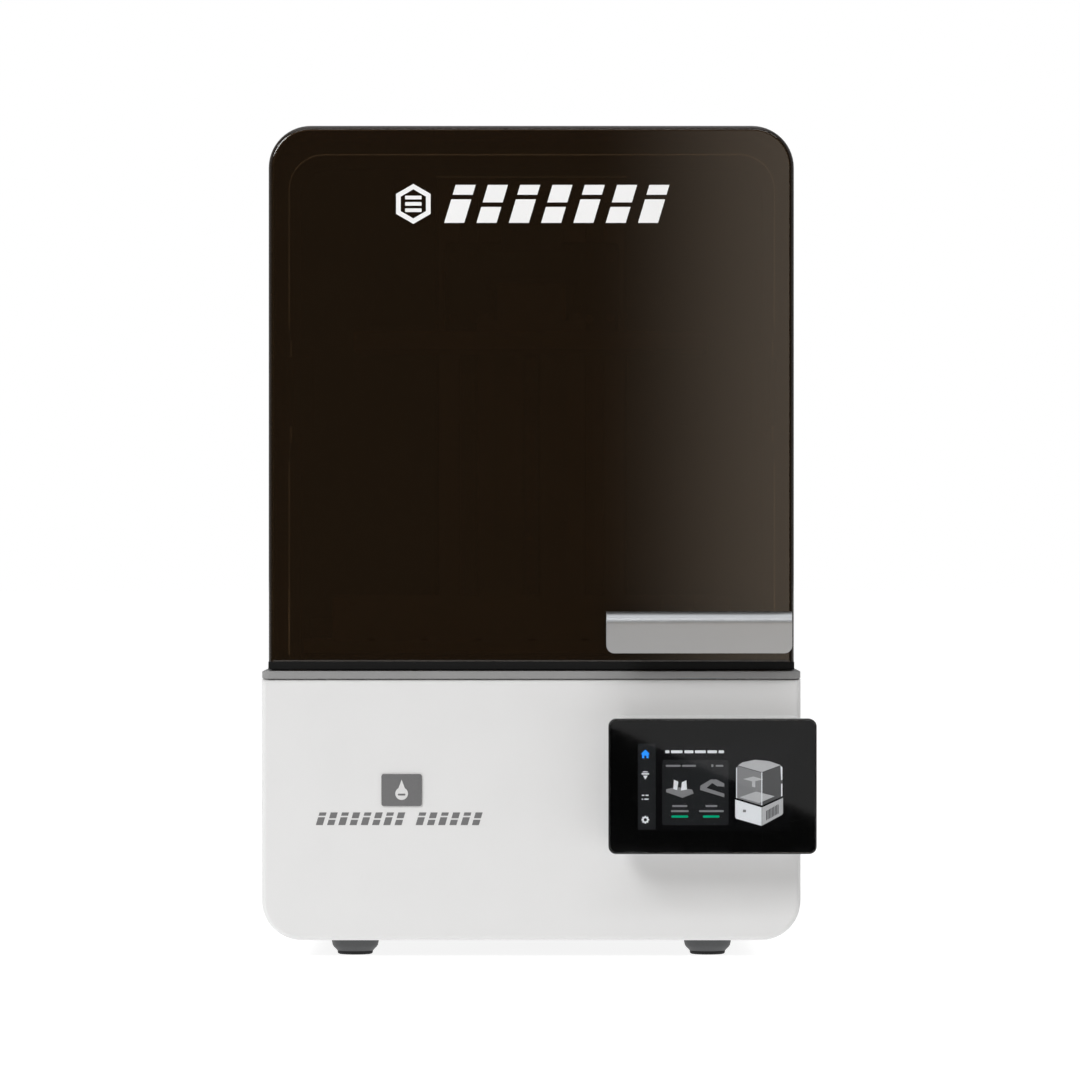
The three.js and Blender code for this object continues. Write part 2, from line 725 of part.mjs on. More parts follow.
// A flat cable from the display's back, through the boss and down to the mainboard's connector.
function ribbonCable() {
  const left = screenMiddle - RIBBON_WIDTH / 2;
  const right = screenMiddle + RIBBON_WIDTH / 2;
  const start = displayFront + DISPLAY_THICKNESS + GAP;
  const bend = baseFront + 12;
  const end = boardFront - GAP;
  const low = baseBottom + 14;
  const t = RIBBON_THICKNESS;
  return join(
    block(left, right, start, bend, ribbonZ - t / 2, ribbonZ + t / 2),
    block(left, right, bend - t, bend, low, ribbonZ + t / 2),
    block(left, right, bend - t, end, low, low + t),
  );
}

// ---------------------------------------------------------------- light engine

function lightHousing() {
  const inX = lightX - LIGHT_WALL;
  const inY = lightY - LIGHT_WALL;
  const ledge = 3;
  return cut(
    block(-lightX, lightX, vatY - lightY, vatY + lightY, lightBottom, baseTop),
    block(-inX, inX, vatY - inY, vatY + inY, lensBottom - GAP, baseTop + 1),
    block(-inX, inX, vatY - inY, vatY + inY, lightBottom + LIGHT_WALL, lensBottom - GAP - ledge),
    block(-inX + ledge, inX - ledge, vatY - inY + ledge, vatY + inY - ledge, lightBottom + 5, baseTop),
    block(-ledOpeningX, ledOpeningX, vatY - ledOpeningY, vatY + ledOpeningY, lightBottom - 1, baseTop),
  );
}

function lightLens() {
  const x = lightX - LIGHT_WALL - GAP;
  const y = lightY - LIGHT_WALL - GAP;
  return block(-x, x, vatY - y, vatY + y, lensBottom, lensTop);
}

function ledBoard() {
  const leds = [];
  for (const column of [-2, -1, 0, 1, 2]) {
    for (const row of [-1, 0, 1]) {
      const x = (column * ledOpeningX) / 2.6;
      const y = vatY + (row * ledOpeningY) / 1.6;
      leds.push(block(x - 2.5, x + 2.5, y - 2.5, y + 2.5, ledBoardTop - 0.5, ledBoardTop + 1.5));
    }
  }
  const board = block(-ledBoardX, ledBoardX, vatY - ledBoardY, vatY + ledBoardY, ledBoardBottom, ledBoardTop);
  return join(board, ...leds);
}

function heatSink() {
  const plateBottom = heatSinkTop - HEAT_SINK_PLATE;
  const pitch = (2 * ledBoardX - FIN_THICKNESS) / (FIN_COUNT - 1);
  const front = vatY - ledBoardY;
  const rear = vatY + ledBoardY;
  const slots = [];
  for (let index = 0; index < FIN_COUNT - 1; index += 1) {
    const left = -ledBoardX + FIN_THICKNESS + index * pitch;
    const right = left + pitch - FIN_THICKNESS;
    slots.push(block(left, right, front - 1, rear + 1, heatSinkBottom - 1, plateBottom));
  }
  const body = block(-ledBoardX, ledBoardX, front, rear, heatSinkBottom, heatSinkTop);
  return cut(body, ...slots);
}

// ---------------------------------------------------------------- fans, drawn about their own Z axis

function fanHubRadius(size) {
  return size * 0.17;
}

function fanFrame(size) {
  const duct = size / 2 - 2;
  const spoke = 2;
  return join(
    cut(upright(roundedRect(size / 2, size / 2, 4), 0, FAN_DEPTH), postZ(duct, 0, 0, -1, FAN_DEPTH + 1, 40)),
    block(-duct - 1, duct + 1, -spoke, spoke, 0, 2),
    block(-spoke, spoke, -duct - 1, duct + 1, 0, 2),
    postZ(fanHubRadius(size), 0, 0, 0, 2),
  );
}

function fanRotor(size) {
  const hub = fanHubRadius(size);
  const tip = size / 2 - 4;
  const blades = [];
  for (let index = 0; index < FAN_BLADES; index += 1) {
    const blade = block(hub - 2, tip, -5.5, 5.5, -0.7, 0.7);
    blade.rotateX(0.65);
    blade.translate(0, 0, 8.5);
    blade.rotateZ((index / FAN_BLADES) * Math.PI * 2);
    blades.push(blade);
  }
  return join(postZ(hub, 0, 0, 2.6, FAN_DEPTH - 0.6), ...blades);
}

// ---------------------------------------------------------------- rear tower, column and drive

// Straight sides and round upper corners, open downwards past the bottom when that is asked for.
function archOutline(halfWidth, bottom, top, radius) {
  const shape = new THREE.Shape();
  shape.moveTo(-halfWidth, bottom);
  shape.lineTo(halfWidth, bottom);
  shape.absarc(halfWidth - radius, top - radius, radius, 0, Math.PI / 2);
  shape.absarc(-halfWidth + radius, top - radius, radius, Math.PI / 2, Math.PI);
  shape.closePath();
  return shape;
}

function towerOutline(inset, bottom) {
  return archOutline(towerSide - inset, bottom, towerTop - inset, TOWER_CORNER - inset);
}

function rearHousing() {
  const under = 10;
  const edge = 2;
  const notches = [-1, 1].map((side) => block(
    side * (bracketInner - GAP),
    side * (towerSide + 1),
    towerFront - 1,
    bracketRear + GAP,
    bracketBottom - GAP,
    bracketTop + GAP,
  ));
  return cut(
    frontal(towerOutline(0, onDeck - under), towerFront, hoodRear + edge * 2, edge),
    block(-BASE_WIDTH, BASE_WIDTH, hoodRear, hoodRear + 10, 0, OVERALL_HEIGHT),
    block(-BASE_WIDTH, BASE_WIDTH, 0, BASE_DEPTH, 0, onDeck),
    frontal(towerOutline(TOWER_WALL, onDeck - under), towerFront + TOWER_WALL, hoodRear + 10),
    block(-towerSlot, towerSlot, towerFront - 1, towerFront + 5, 0, columnTop + 2),
    ...notches,
  );
}

function rearCover() {
  const rear = hoodRear - GAP;
  const slots = [];
  for (let row = 0; row < 8; row += 1) {
    const z = towerTop - 60 - row * 8;
    slots.push(block(-50, 50, rear - 10, rear + 10, z, z + 3));
  }
  const outline = towerOutline(TOWER_WALL + GAP, onDeck);
  return cut(frontal(outline, rear - 2, rear), ...slots);
}

function zColumn() {
  const side = COLUMN_WIDTH / 2;
  const inside = side - COLUMN_WALL;
  const slot = COLUMN_SLOT / 2;
  const outline = polygon([
    [-side, columnRear],
    [-side, columnFront],
    [-slot, columnFront],
    [-slot, channelFront],
    [-inside, channelFront],
    [-inside, channelRear],
    [inside, channelRear],
    [inside, channelFront],
    [slot, channelFront],
    [slot, columnFront],
    [side, columnFront],
    [side, columnRear],
  ]);
  return upright(outline, onDeck, columnTop);
}

function zRail() {
  const half = RAIL_WIDTH / 2;
  return block(-half, half, railFront, railRear, onDeck + 5, columnTop - 5);
}

function bearing(bottom, top) {
  const half = BEARING_WIDTH / 2;
  return cut(
    block(-half, half, channelFront + GAP, channelRear - GAP, bottom, top),
    postZ(JOURNAL_RADIUS + RUNNING_GAP, 0, screwY, bottom - 1, top + 1),
  );
}

function zMotor() {
  const top = motorBracketBottom - GAP;
  const half = MOTOR_SIZE / 2;
  return cut(
    join(
      upright(roundedRect(half, half, 4, 0, screwY), top - MOTOR_LENGTH, top, 1),
      postZ(MOTOR_BOSS_RADIUS, 0, screwY, top - 2, top + 2),
    ),
    postZ(MOTOR_SHAFT_RADIUS + RUNNING_GAP, 0, screwY, top - 20, top + 5),
  );
}

function zMotorBracket() {
  const half = MOTOR_SIZE / 2 + 5;
  const inside = half - 3.5;
  const depth = MOTOR_SIZE / 2 + 3;
  const floor = motorBracketBottom + bracketPlate;
  const ceiling = baseTop - bracketPlate;
  return cut(
    block(-half, half, screwY - depth, screwY + depth, motorBracketBottom, baseTop),
    block(-inside, inside, 0, BASE_DEPTH, floor, ceiling),
    postZ(MOTOR_BOSS_RADIUS + RUNNING_GAP, 0, screwY, motorBracketBottom - 1, floor + 1),
    postZ(JOURNAL_RADIUS + 1.5, 0, screwY, ceiling - 1, baseTop + 1),
  );
}

function screwCoupler() {
  return cut(
    postZ(COUPLER_RADIUS, 0, screwY, couplerBottom, couplerTop),
    postZ(MOTOR_SHAFT_RADIUS + GAP, 0, screwY, couplerBottom - 1, couplerMiddle + 1),
    postZ(JOURNAL_RADIUS + GAP, 0, screwY, couplerMiddle, couplerTop + 1),
  );
}

function motorShaft() {
  return postZ(MOTOR_SHAFT_RADIUS, 0, screwY, motorBracketBottom - 19, couplerMiddle - GAP);
}

function zScrew() {
  const threadBottom = lowerBearingTop + RUNNING_GAP;
  const threadTop = upperBearingBottom - RUNNING_GAP;
  return turned([
    [0, couplerMiddle + GAP],
    [JOURNAL_RADIUS, couplerMiddle + GAP],
    [JOURNAL_RADIUS, threadBottom],
    [SCREW_RADIUS, threadBottom + 1],
    [SCREW_RADIUS, threadTop - 1],
    [JOURNAL_RADIUS, threadTop],
    [JOURNAL_RADIUS, upperBearingTop + 1],
    [0, upperBearingTop + 1],
  ]).translate(0, screwY, 0);
}

// ---------------------------------------------------------------- carriage, from the platform's underside up

function carriageBlock() {
  const half = BLOCK_WIDTH / 2;
  const rail = RAIL_WIDTH / 2 + GAP;
  const bottom = CARRIAGE_BOTTOM + 6;
  return cut(
    block(-half, half, blockFront, blockFront + 10, bottom, bottom + BLOCK_LENGTH),
    block(-rail, rail, railFront - GAP, railRear, bottom - 1, bottom + BLOCK_LENGTH + 1),
  );
}

function carriagePlate() {
  const half = CARRIAGE_WIDTH / 2;
  const middle = (CARRIAGE_BOTTOM + CARRIAGE_TOP) / 2;
  const outline = roundedRect(half, (CARRIAGE_TOP - CARRIAGE_BOTTOM) / 2, 4, 0, middle);
  return frontal(outline, carriageFront, carriageRear, 0.8);
}

function ballNut() {
  const bottom = CARRIAGE_BOTTOM;
  const top = bottom + 30;
  const reach = (channelRear - channelFront) / 2 - 1;
  return cut(
    join(block(-reach, reach, blockFront, screwY, bottom, top), postZ(reach, 0, screwY, bottom, top, 32)),
    postZ(SCREW_RADIUS + RUNNING_GAP, 0, screwY, bottom - 1, top + 1),
  );
}

function platformArm() {
  const half = ARM_WIDTH / 2;
  const ribEnd = vatY + cavityY + VAT_WALL + 2.5; // behind the vat's rear wall when the platform is down
  const ribLow = polygon([
    [flangeFront + 1, CARRIAGE_BOTTOM + 2],
    [flangeFront + 1, ARM_BOTTOM + 1],
    [ribEnd, ARM_BOTTOM + 1],
    [ribEnd, ARM_BOTTOM],
  ]);
  const ribHigh = polygon([
    [flangeFront + 1, ARM_TOP - 1],
    [flangeFront + 1, CARRIAGE_TOP - 2],
    [flangeFront - 34, ARM_TOP],
    [flangeFront - 34, ARM_TOP - 1],
  ]);
  const ribs = [];
  for (const x of [-half + 3, half - 9]) {
    ribs.push(sideways(ribLow, x, x + 6), sideways(ribHigh, x, x + 6));
  }
  const middle = (CARRIAGE_TOP + CARRIAGE_BOTTOM) / 2;
  const flange = roundedRect(half + 15, (CARRIAGE_TOP - CARRIAGE_BOTTOM) / 2, 4, 0, middle);
  return cut(
    join(
      frontal(flange, flangeFront, flangeRear),
      block(-half, half, vatY - 29, flangeFront + 1, ARM_BOTTOM, ARM_TOP),
      ...ribs,
    ),
    postZ(4 + RUNNING_GAP, 0, vatY, ARM_BOTTOM - 1, ARM_TOP + 1),
  );
}

function clampKnob() {
  const grip = upright(lobedOutline(CLAMP_KNOB_RADIUS, 8, 1.8), ARM_TOP + GAP, CLAMP_KNOB_TOP, 1.2);
  return join(grip, postZ(4, 0, 0, 30, ARM_TOP + 2));
}

function platformHead() {
  const bottom = PLATFORM_THICKNESS + GAP;
  const top = ARM_BOTTOM - GAP;
  const screws = [];
  for (const x of [-29, 29]) {
    for (const y of [vatY - 24, vatY + 24]) screws.push(postZ(4, x, y, bottom + 6, bottom + 12, 16));
  }
  return cut(
    join(
      block(-35, 35, vatY - 30, vatY + 30, bottom, bottom + 8),
      upright(roundedRect(22, 22, 5, 0, vatY), bottom + 7, top),
      ...screws,
    ),
    postZ(4 + RUNNING_GAP, 0, vatY, 26, top + 1),
  );
}

function platformPlate() {
  return upright(roundedRect(platformX, platformY, 4, 0, vatY), 0, PLATFORM_THICKNESS, 1);
}

// ---------------------------------------------------------------- vat and screen mask

function vatStudHoles(radius) {
  return [-1, 1].map((side) => postZ(radius, side * vatKnobX, vatY, 0, OVERALL_HEIGHT));
}

function vatBody() {
  const wallX = cavityX + VAT_WALL;
  const wallY = cavityY + VAT_WALL;
  const spoutX = wallX - 34;
  const spoutY = vatY - wallY + 2;
  return cut(
    join(
      upright(roundedRect(vatSide, vatHalfDepth, 12, 0, vatY), vatBottom, flangeTop),
      upright(roundedRect(wallX, wallY, 10, 0, vatY), vatBottom, vatTop),
      postZ(11, spoutX, spoutY, flangeTop + 6, vatTop),
    ),
    upright(roundedRect(cavityX, cavityY, 8, 0, vatY), vatBottom - 1, vatTop + 1),
    postZ(8.5, spoutX, spoutY, vatTop - 12, vatTop + 1),
    ...vatStudHoles(STUD_RADIUS + RUNNING_GAP),
  );
}

function vatKnob() {
  const bottom = flangeTop + GAP;
  return join(
    upright(lobedOutline(VAT_KNOB_RADIUS, 6, 0.9), bottom, bottom + VAT_KNOB_HEIGHT, 0.8),
    postZ(STUD_RADIUS, 0, 0, deckBottom - 4, bottom + 2, 16),
  );
}

function filmOutline() {
  return roundedRect(vatSide - 1.5, vatHalfDepth - 1.5, 10.5, 0, vatY);
}

function vatFilm() {
  return cut(upright(filmOutline(), filmBottom, filmTop), ...vatStudHoles(STUD_RADIUS + 1));
}

function vatFilmRing() {
  return cut(
    upright(filmOutline(), onDeck, filmBottom - GAP),
    upright(roundedRect(ringX, ringY, 7, 0, vatY), 0, OVERALL_HEIGHT),
    ...vatStudHoles(STUD_RADIUS + 1),
  );
}

function lcdFrame() {
  return cut(
    upright(roundedRect(lcdFrameX, lcdFrameY, 6, 0, vatY), onDeck, onDeck + LCD_FRAME_HEIGHT),
    block(-windowX, windowX, vatY - windowY, vatY + windowY, 0, OVERALL_HEIGHT),
  );
}

function lcdPanel() {
  return block(-lcdX, lcdX, vatY - lcdY, vatY + lcdY, lcdBottom, lcdBottom + LCD_THICKNESS);
}

// ---------------------------------------------------------------- hood and hinges

function hoodShell() {
  const under = 10;
  const radius = HOOD_REAR_CORNER;
  const outside = archOutline(hoodSide, hoodBottom - under, OVERALL_HEIGHT, HOOD_CORNER);
  const inside = archOutline(hoodInnerSide, hoodBottom - under, hoodInnerTop, HOOD_CORNER - HOOD_WALL);
  const corner = new THREE.Shape();
  corner.moveTo(hoodRear - radius, hoodBottom - 1);
  corner.lineTo(hoodRear + 1, hoodBottom - 1);
  corner.lineTo(hoodRear + 1, hoodBottom + radius);
  corner.lineTo(hoodRear, hoodBottom + radius);
  corner.absarc(hoodRear - radius, hoodBottom + radius, radius, 0, -Math.PI / 2, true);
  corner.closePath();
  return cut(
    frontal(outside, hoodFront, hoodRear + HOOD_FILLET * 2, HOOD_FILLET),
    block(-BASE_WIDTH, BASE_WIDTH, hoodRear, hoodRear + 20, 0, OVERALL_HEIGHT + 1),
    frontal(inside, hoodFront + HOOD_WALL, hoodRear + 20),
    block(-BASE_WIDTH, BASE_WIDTH, -BASE_DEPTH, BASE_DEPTH, 0, hoodBottom),
    sideways(corner, -BASE_WIDTH, BASE_WIDTH),
  );
}

function hoodGasket() {
  const rear = hoodRear - HOOD_REAR_CORNER;
  const halfDepth = (rear + 20 - hoodFront) / 2;
  const middle = hoodFront + halfDepth;
  const bottom = DECK_HEIGHT + GASKET_LIFT;
  const top = hoodBottom - GAP;
  const inside = roundedRect(hoodSide - GASKET_WIDTH, halfDepth - GASKET_WIDTH, 1, 0, middle);
  return cut(
    upright(roundedRect(hoodSide, halfDepth, HOOD_FILLET, 0, middle), bottom, top),
    upright(inside, bottom - 1, top + 1),
    block(-BASE_WIDTH, BASE_WIDTH, rear, rear + 30, bottom - 1, top + 1),
  );
}

// A strip bent into a hook that is open downwards, with round lower corners.
function hoodHandle() {
  const rear = hoodFront - GAP;
  const front = rear - HANDLE_REACH;
  const bottom = hoodBottom + HANDLE_LIFT;
  const top = bottom + HANDLE_HEIGHT;
  const bend = HANDLE_BEND;
  const inner = bend - HANDLE_THICKNESS;
  const hook = new THREE.Shape();
  hook.moveTo(rear, bottom);
  hook.absarc(rear - bend, top - bend, bend, 0, Math.PI / 2);
  hook.absarc(front + bend, top - bend, bend, Math.PI / 2, Math.PI);
  hook.lineTo(front, bottom);
  hook.lineTo(front + HANDLE_THICKNESS, bottom);
  hook.absarc(front + bend, top - bend, inner, Math.PI, Math.PI / 2, true);
  hook.absarc(rear - bend, top - bend, inner, Math.PI / 2, 0, true);
  hook.lineTo(rear - HANDLE_THICKNESS, bottom);
  hook.closePath();
  const right = hoodSide - HANDLE_INSET;
  const left = right - HANDLE_LENGTH;
  const corner = 5;
  const face = roundedRect(HANDLE_LENGTH / 2, (HANDLE_HEIGHT + corner) / 2, corner, right - HANDLE_LENGTH / 2,
    bottom + (HANDLE_HEIGHT + corner) / 2);
  return common(sideways(hook, left, right), frontal(face, front - 1, rear + 1));
}

function hingeLeaf(side) {
  const halfDepth = HINGE_LEAF_DEPTH / 2;
  const outline = roundedRect(halfDepth, HINGE_LEAF_HEIGHT / 2, 6, pivotY, pivotZ + 3);
  const left = Math.min(side * leafInner, side * leafOuter);
  const right = Math.max(side * leafInner, side * leafOuter);
  return cut(
    sideways(outline, left, right),
    postX(HINGE_PIN_RADIUS + RUNNING_GAP, pivotY, pivotZ, left - 1, right + 1),
  );
}

function hingeBracket(side) {
  return join(
    block(side * bracketInner, side * bracketOuter, bracketFront, bracketRear, bracketBottom, bracketTop),
    block(
      side * (bracketInner - 15),
      side * (bracketInner + 1),
      towerFront + TOWER_WALL + GAP,
      towerFront + TOWER_WALL + GAP + 5,
      bracketBottom + 5,
      bracketTop - 5,
    ),
    postX(HINGE_PIN_RADIUS, pivotY, pivotZ, side * (bracketOuter - 1), side * (leafOuter - 0.2)),
  );
}

// ---------------------------------------------------------------- assembly

const printer = new THREE.Group();

const base = new THREE.Group();
place(base, 'base_housing', baseHousing(), whiteShell);
place(base, 'base_bottom_plate', bottomPlate(), blackSteel);
place(base, 'deck_plate', deckPlate(), greyPlastic);
for (const [endName, end] of [['front', -1], ['rear', 1]]) {
  for (const [sideName, side] of [['left', -1], ['right', 1]]) {
    const x = side * (baseSide - FOOT_INSET_X);
    const y = end * (baseRear - FOOT_INSET_Y);
    place(base, `foot_${endName}_${sideName}`, foot(), rubber, x, y);
  }
}
place(base, 'mainboard', mainboard(), circuitBoard);
place(base, 'power_supply', powerSupply(), aluminium);
place(base, 'power_inlet', powerInlet(), blackPlastic);
place(base, 'power_switch_frame', switchFrame(), blackPlastic);
const rockerPlace = [SWITCH_X, rockerPivotY, inletZ];
const rocker = place(base, 'power_switch_rocker', switchRocker(), blackPlastic, ...rockerPlace);
rocker.rotation.x = THREE.MathUtils.degToRad(-SWITCH_TILT);
place(base, 'usb_port', usbPort(), steel);
place(base, 'front_badge', frontBadge(), greyPlastic);
place(base, 'exhaust_fan_frame', fanFrame(EXHAUST_FAN_SIZE), blackPlastic);
place(base, 'exhaust_fan_rotor', fanRotor(EXHAUST_FAN_SIZE), blackPlastic);
for (const name of ['exhaust_fan_frame', 'exhaust_fan_rotor']) {
  const piece = base.getObjectByName(name);
  piece.position.set(exhaustX, baseRear - BASE_WALL - GAP - FAN_DEPTH, exhaustZ);
  piece.rotation.x = -Math.PI / 2;
}
printer.add(base);

const screen = new THREE.Group();
place(screen, 'screen_housing', screenHousing(), blackPlastic);
place(screen, 'screen_glass', screenGlass(), glass);
place(screen, 'screen_display', screenDisplay(), displayGlass);
place(screen, 'screen_ribbon_cable', ribbonCable(), greyPlastic);
printer.add(screen);

const lightEngine = new THREE.Group();
place(lightEngine, 'light_housing', lightHousing(), blackPlastic);
place(lightEngine, 'light_lens', lightLens(), lensPlastic);
place(lightEngine, 'led_board', ledBoard(), circuitBoard);
place(lightEngine, 'heat_sink', heatSink(), aluminium);
place(lightEngine, 'heat_sink_fan_frame', fanFrame(HEAT_SINK_FAN_SIZE), blackPlastic, 0, vatY, fanBottom);
place(lightEngine, 'heat_sink_fan_rotor', fanRotor(HEAT_SINK_FAN_SIZE), blackPlastic, 0, vatY, fanBottom);
place(lightEngine, 'lcd_frame', lcdFrame(), darkAluminium);
place(lightEngine, 'lcd_panel', lcdPanel(), glass);
printer.add(lightEngine);

const tower = new THREE.Group();
place(tower, 'rear_housing', rearHousing(), blackPlastic);
place(tower, 'rear_cover', rearCover(), blackSteel);
place(tower, 'z_column', zColumn(), aluminium);
place(tower, 'z_rail_left', zRail(), steel, -RAIL_SPACING / 2);
place(tower, 'z_rail_right', zRail(), steel, RAIL_SPACING / 2);
place(tower, 'screw_lower_bearing', bearing(lowerBearingBottom, lowerBearingTop), darkAluminium);
place(tower, 'screw_upper_bearing', bearing(upperBearingBottom, upperBearingTop), darkAluminium);
place(tower, 'z_motor', zMotor(), blackSteel);
place(tower, 'z_motor_bracket', zMotorBracket(), darkAluminium);
place(tower, 'motor_shaft', motorShaft(), steel);
place(tower, 'screw_coupler', screwCoupler(), aluminium);
place(tower, 'z_screw', zScrew(), steel);
printer.add(tower);

const carriage = new THREE.Group();
carriage.position.z = platformRest;
place(carriage, 'carriage_block_left', carriageBlock(), steel, -RAIL_SPACING / 2);
place(carriage, 'carriage_block_right', carriageBlock(), steel, RAIL_SPACING / 2);
place(carriage, 'carriage_plate', carriagePlate(), darkAluminium);
place(carriage, 'ball_nut', ballNut(), brass);
place(carriage, 'platform_arm', platformArm(), darkAluminium);
place(carriage, 'clamp_knob', clampKnob(), blackPlastic, 0, vatY);
place(carriage, 'platform_head', platformHead(), aluminium);
place(carriage, 'platform_plate', platformPlate(), aluminium);
printer.add(carriage);

const vat = new THREE.Group();
place(vat, 'vat_body', vatBody(), aluminium);
place(vat, 'vat_film', vatFilm(), clearFilm);
place(vat, 'vat_film_ring', vatFilmRing(), darkAluminium);
place(vat, 'vat_knob_left', vatKnob(), blackPlastic, -vatKnobX, vatY);
place(vat, 'vat_knob_right', vatKnob(), blackPlastic, vatKnobX, vatY);
printer.add(vat);

const hood = new THREE.Group();
place(hood, 'hood_shell', hoodShell(), amberAcrylic);
place(hood, 'hood_handle', hoodHandle(), aluminium);
place(hood, 'hood_gasket', hoodGasket(), rubber);
for (const [sideName, side] of [['left', -1], ['right', 1]]) {
  place(hood, `hinge_leaf_${sideName}`, hingeLeaf(side), blackSteel);
  place(hood, `hinge_bracket_${sideName}`, hingeBracket(side), blackSteel);
}
printer.add(hood);

// The origin is the middle of the footprint, at the level of the feet.
const extent = new THREE.Box3().setFromObject(printer, true);
printer.position.x = -(extent.min.x + extent.max.x) / 2;
printer.position.y = -(extent.min.y + extent.max.y) / 2;
printer.position.z = -extent.min.z;

const assembly = new THREE.Group();
assembly.add(printer);

export default assembly;
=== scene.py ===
import math

import bmesh
import bpy
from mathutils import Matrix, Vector


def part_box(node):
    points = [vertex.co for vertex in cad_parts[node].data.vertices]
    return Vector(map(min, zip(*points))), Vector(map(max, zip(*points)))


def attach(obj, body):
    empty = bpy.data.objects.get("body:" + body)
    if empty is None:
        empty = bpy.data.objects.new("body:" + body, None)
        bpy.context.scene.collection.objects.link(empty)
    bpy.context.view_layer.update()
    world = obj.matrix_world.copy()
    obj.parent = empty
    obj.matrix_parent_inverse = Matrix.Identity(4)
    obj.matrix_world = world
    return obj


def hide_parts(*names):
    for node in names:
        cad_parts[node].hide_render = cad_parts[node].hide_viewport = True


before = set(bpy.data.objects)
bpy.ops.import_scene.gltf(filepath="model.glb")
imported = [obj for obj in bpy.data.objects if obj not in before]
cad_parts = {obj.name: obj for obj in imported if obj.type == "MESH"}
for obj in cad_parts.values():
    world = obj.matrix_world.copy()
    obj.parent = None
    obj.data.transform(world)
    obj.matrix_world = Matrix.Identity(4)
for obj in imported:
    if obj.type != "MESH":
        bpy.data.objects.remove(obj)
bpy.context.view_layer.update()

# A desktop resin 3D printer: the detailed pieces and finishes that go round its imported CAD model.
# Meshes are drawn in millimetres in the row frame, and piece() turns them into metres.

MM = 0.001
ARC_STEPS = 8  # sides to a quarter turn of an outline
RIM_STEPS = 4  # sides to the rounding of a rim
BEVEL_SEGMENTS, BEVEL_ANGLE = 2, 40  # small rounded edges, on corners sharper than this many degrees
HAIR = 0.01  # the least gap, so that no two faces or corners meet exactly
PAST = 1.0  # how far a cutting tool reaches past what it cuts


def node_box(name):
    """Lowest and highest corner of a CAD node, in millimetres."""
    low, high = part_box(name)
    return low / MM, high / MM


def middle(name):
    """The middle of a CAD node's box, in millimetres."""
    low, high = node_box(name)
    return [(a + b) / 2 for a, b in zip(low, high)]


deck_low, deck_high = node_box("deck_plate")
shell_low, shell_high = node_box("base_housing")
hood_low, hood_high = node_box("hood_shell")
glass_low, glass_high = node_box("screen_glass")
MIDDLE = middle("deck_plate")[0]  # the printer's own middle, across
FRONT, REAR = deck_low.y, deck_high.y
LEFT, RIGHT = deck_low.x, deck_high.x


# ---------------------------------------------------------------------------------------------- mesh helpers

def upright(u, v, w):
    """An outline seen from above, with w upwards."""
    return (u, v, w)


def frontal(u, v, w):
    """An outline seen from the front, with w towards the rear."""
    return (u, w, v)


def sideways(u, v, w):
    """An outline in Y and Z, with w to the right."""
    return (w, u, v)


def loft(rings):
    """A closed solid through rings with the same number of points."""
    bm = bmesh.new()
    rows = [[bm.verts.new(point) for point in ring] for ring in rings]
    for lower, upper in zip(rows, rows[1:]):
        for k in range(len(lower)):
            after = (k + 1) % len(lower)
            bm.faces.new((lower[k], lower[after], upper[after], upper[k]))
    bm.faces.new(rows[0])
    bm.faces.new(rows[-1])
    bmesh.ops.recalc_face_normals(bm, faces=bm.faces)
    return bm


def rectangle(u0, u1, v0, v1, radii, steps=ARC_STEPS):
    """A round-cornered outline as a function of its inset. Radii run anticlockwise from the lower left."""
    radii = radii if isinstance(radii, (list, tuple)) else [radii] * 4
    least = 0.05  # smallest corner radius

    def outline(inset=0.0):
        corners = [(u0, v0, 1, 1), (u1, v0, -1, 1), (u1, v1, -1, -1), (u0, v1, 1, -1)]
        points = []
        for index, ((u, v, along, up), radius) in enumerate(zip(corners, radii)):
            r = max(radius - inset, least)
            for k in range(steps + 1):
                angle = math.pi + math.pi / 2 * (index + k / steps)
                points.append((u + along * (inset + r) + r * math.cos(angle),
                               v + up * (inset + r) + r * math.sin(angle)))
        return points

    return outline


def polygon(points):
    """A fixed outline that takes no inset."""
    return lambda inset=0.0: points


def arc(u, v, radius, start, stop, steps=ARC_STEPS):
    """Points of an arc, from start to stop in degrees."""
    angles = [math.radians(start + (stop - start) * k / steps) for k in range(steps + 1)]
    return [(u + radius * math.cos(a), v + radius * math.sin(a)) for a in angles]


def rim(edge):
    """(inset, depth) pairs from a flat face round its edge to the side."""
    if not edge:
        return [(0.0, 0.0)]
    angles = [math.pi / 2 * k / RIM_STEPS for k in range(RIM_STEPS + 1)]
    return [(edge * (1 - math.sin(a)), edge * (1 - math.cos(a))) for a in angles]


def slab(outline, near, far, turn, near_edge=0.0, far_edge=0.0):
    """A solid of one outline from near to far, with rounded rims where an edge is given."""
    rings = [(inset, near + depth) for inset, depth in rim(near_edge)]
    rings += [(inset, far - depth) for inset, depth in reversed(rim(far_edge))]
    return loft([[turn(u, v, w) for u, v in outline(inset)] for inset, w in rings])


def block(x0, x1, y0, y1, z0, z1, edge=0.0):
    """A box, with rounded edges where an edge is given."""
    return slab(rectangle(x0, x1, y0, y1, edge, 2), z0, z1, upright, edge, edge)


def turned(profile, u, v, turn=upright, steps=48, shape=lambda radius, angle: radius):
    """A solid turned from (radius, height) pairs, with shape giving the radius at each angle."""
    angles = [math.tau * k / steps for k in range(steps)]
    return loft([
        [turn(u + shape(r, a) * math.cos(a), v + shape(r, a) * math.sin(a), w) for a in angles]
        for r, w in profile
    ])


def group(*parts):
    """Several solids as one mesh, each still its own closed body."""
    whole = bmesh.new()
    for bm in parts:
        mesh = bpy.data.meshes.new("work")
        bm.to_mesh(mesh)
        bm.free()
        whole.from_mesh(mesh)
        bpy.data.meshes.remove(mesh)
    return whole


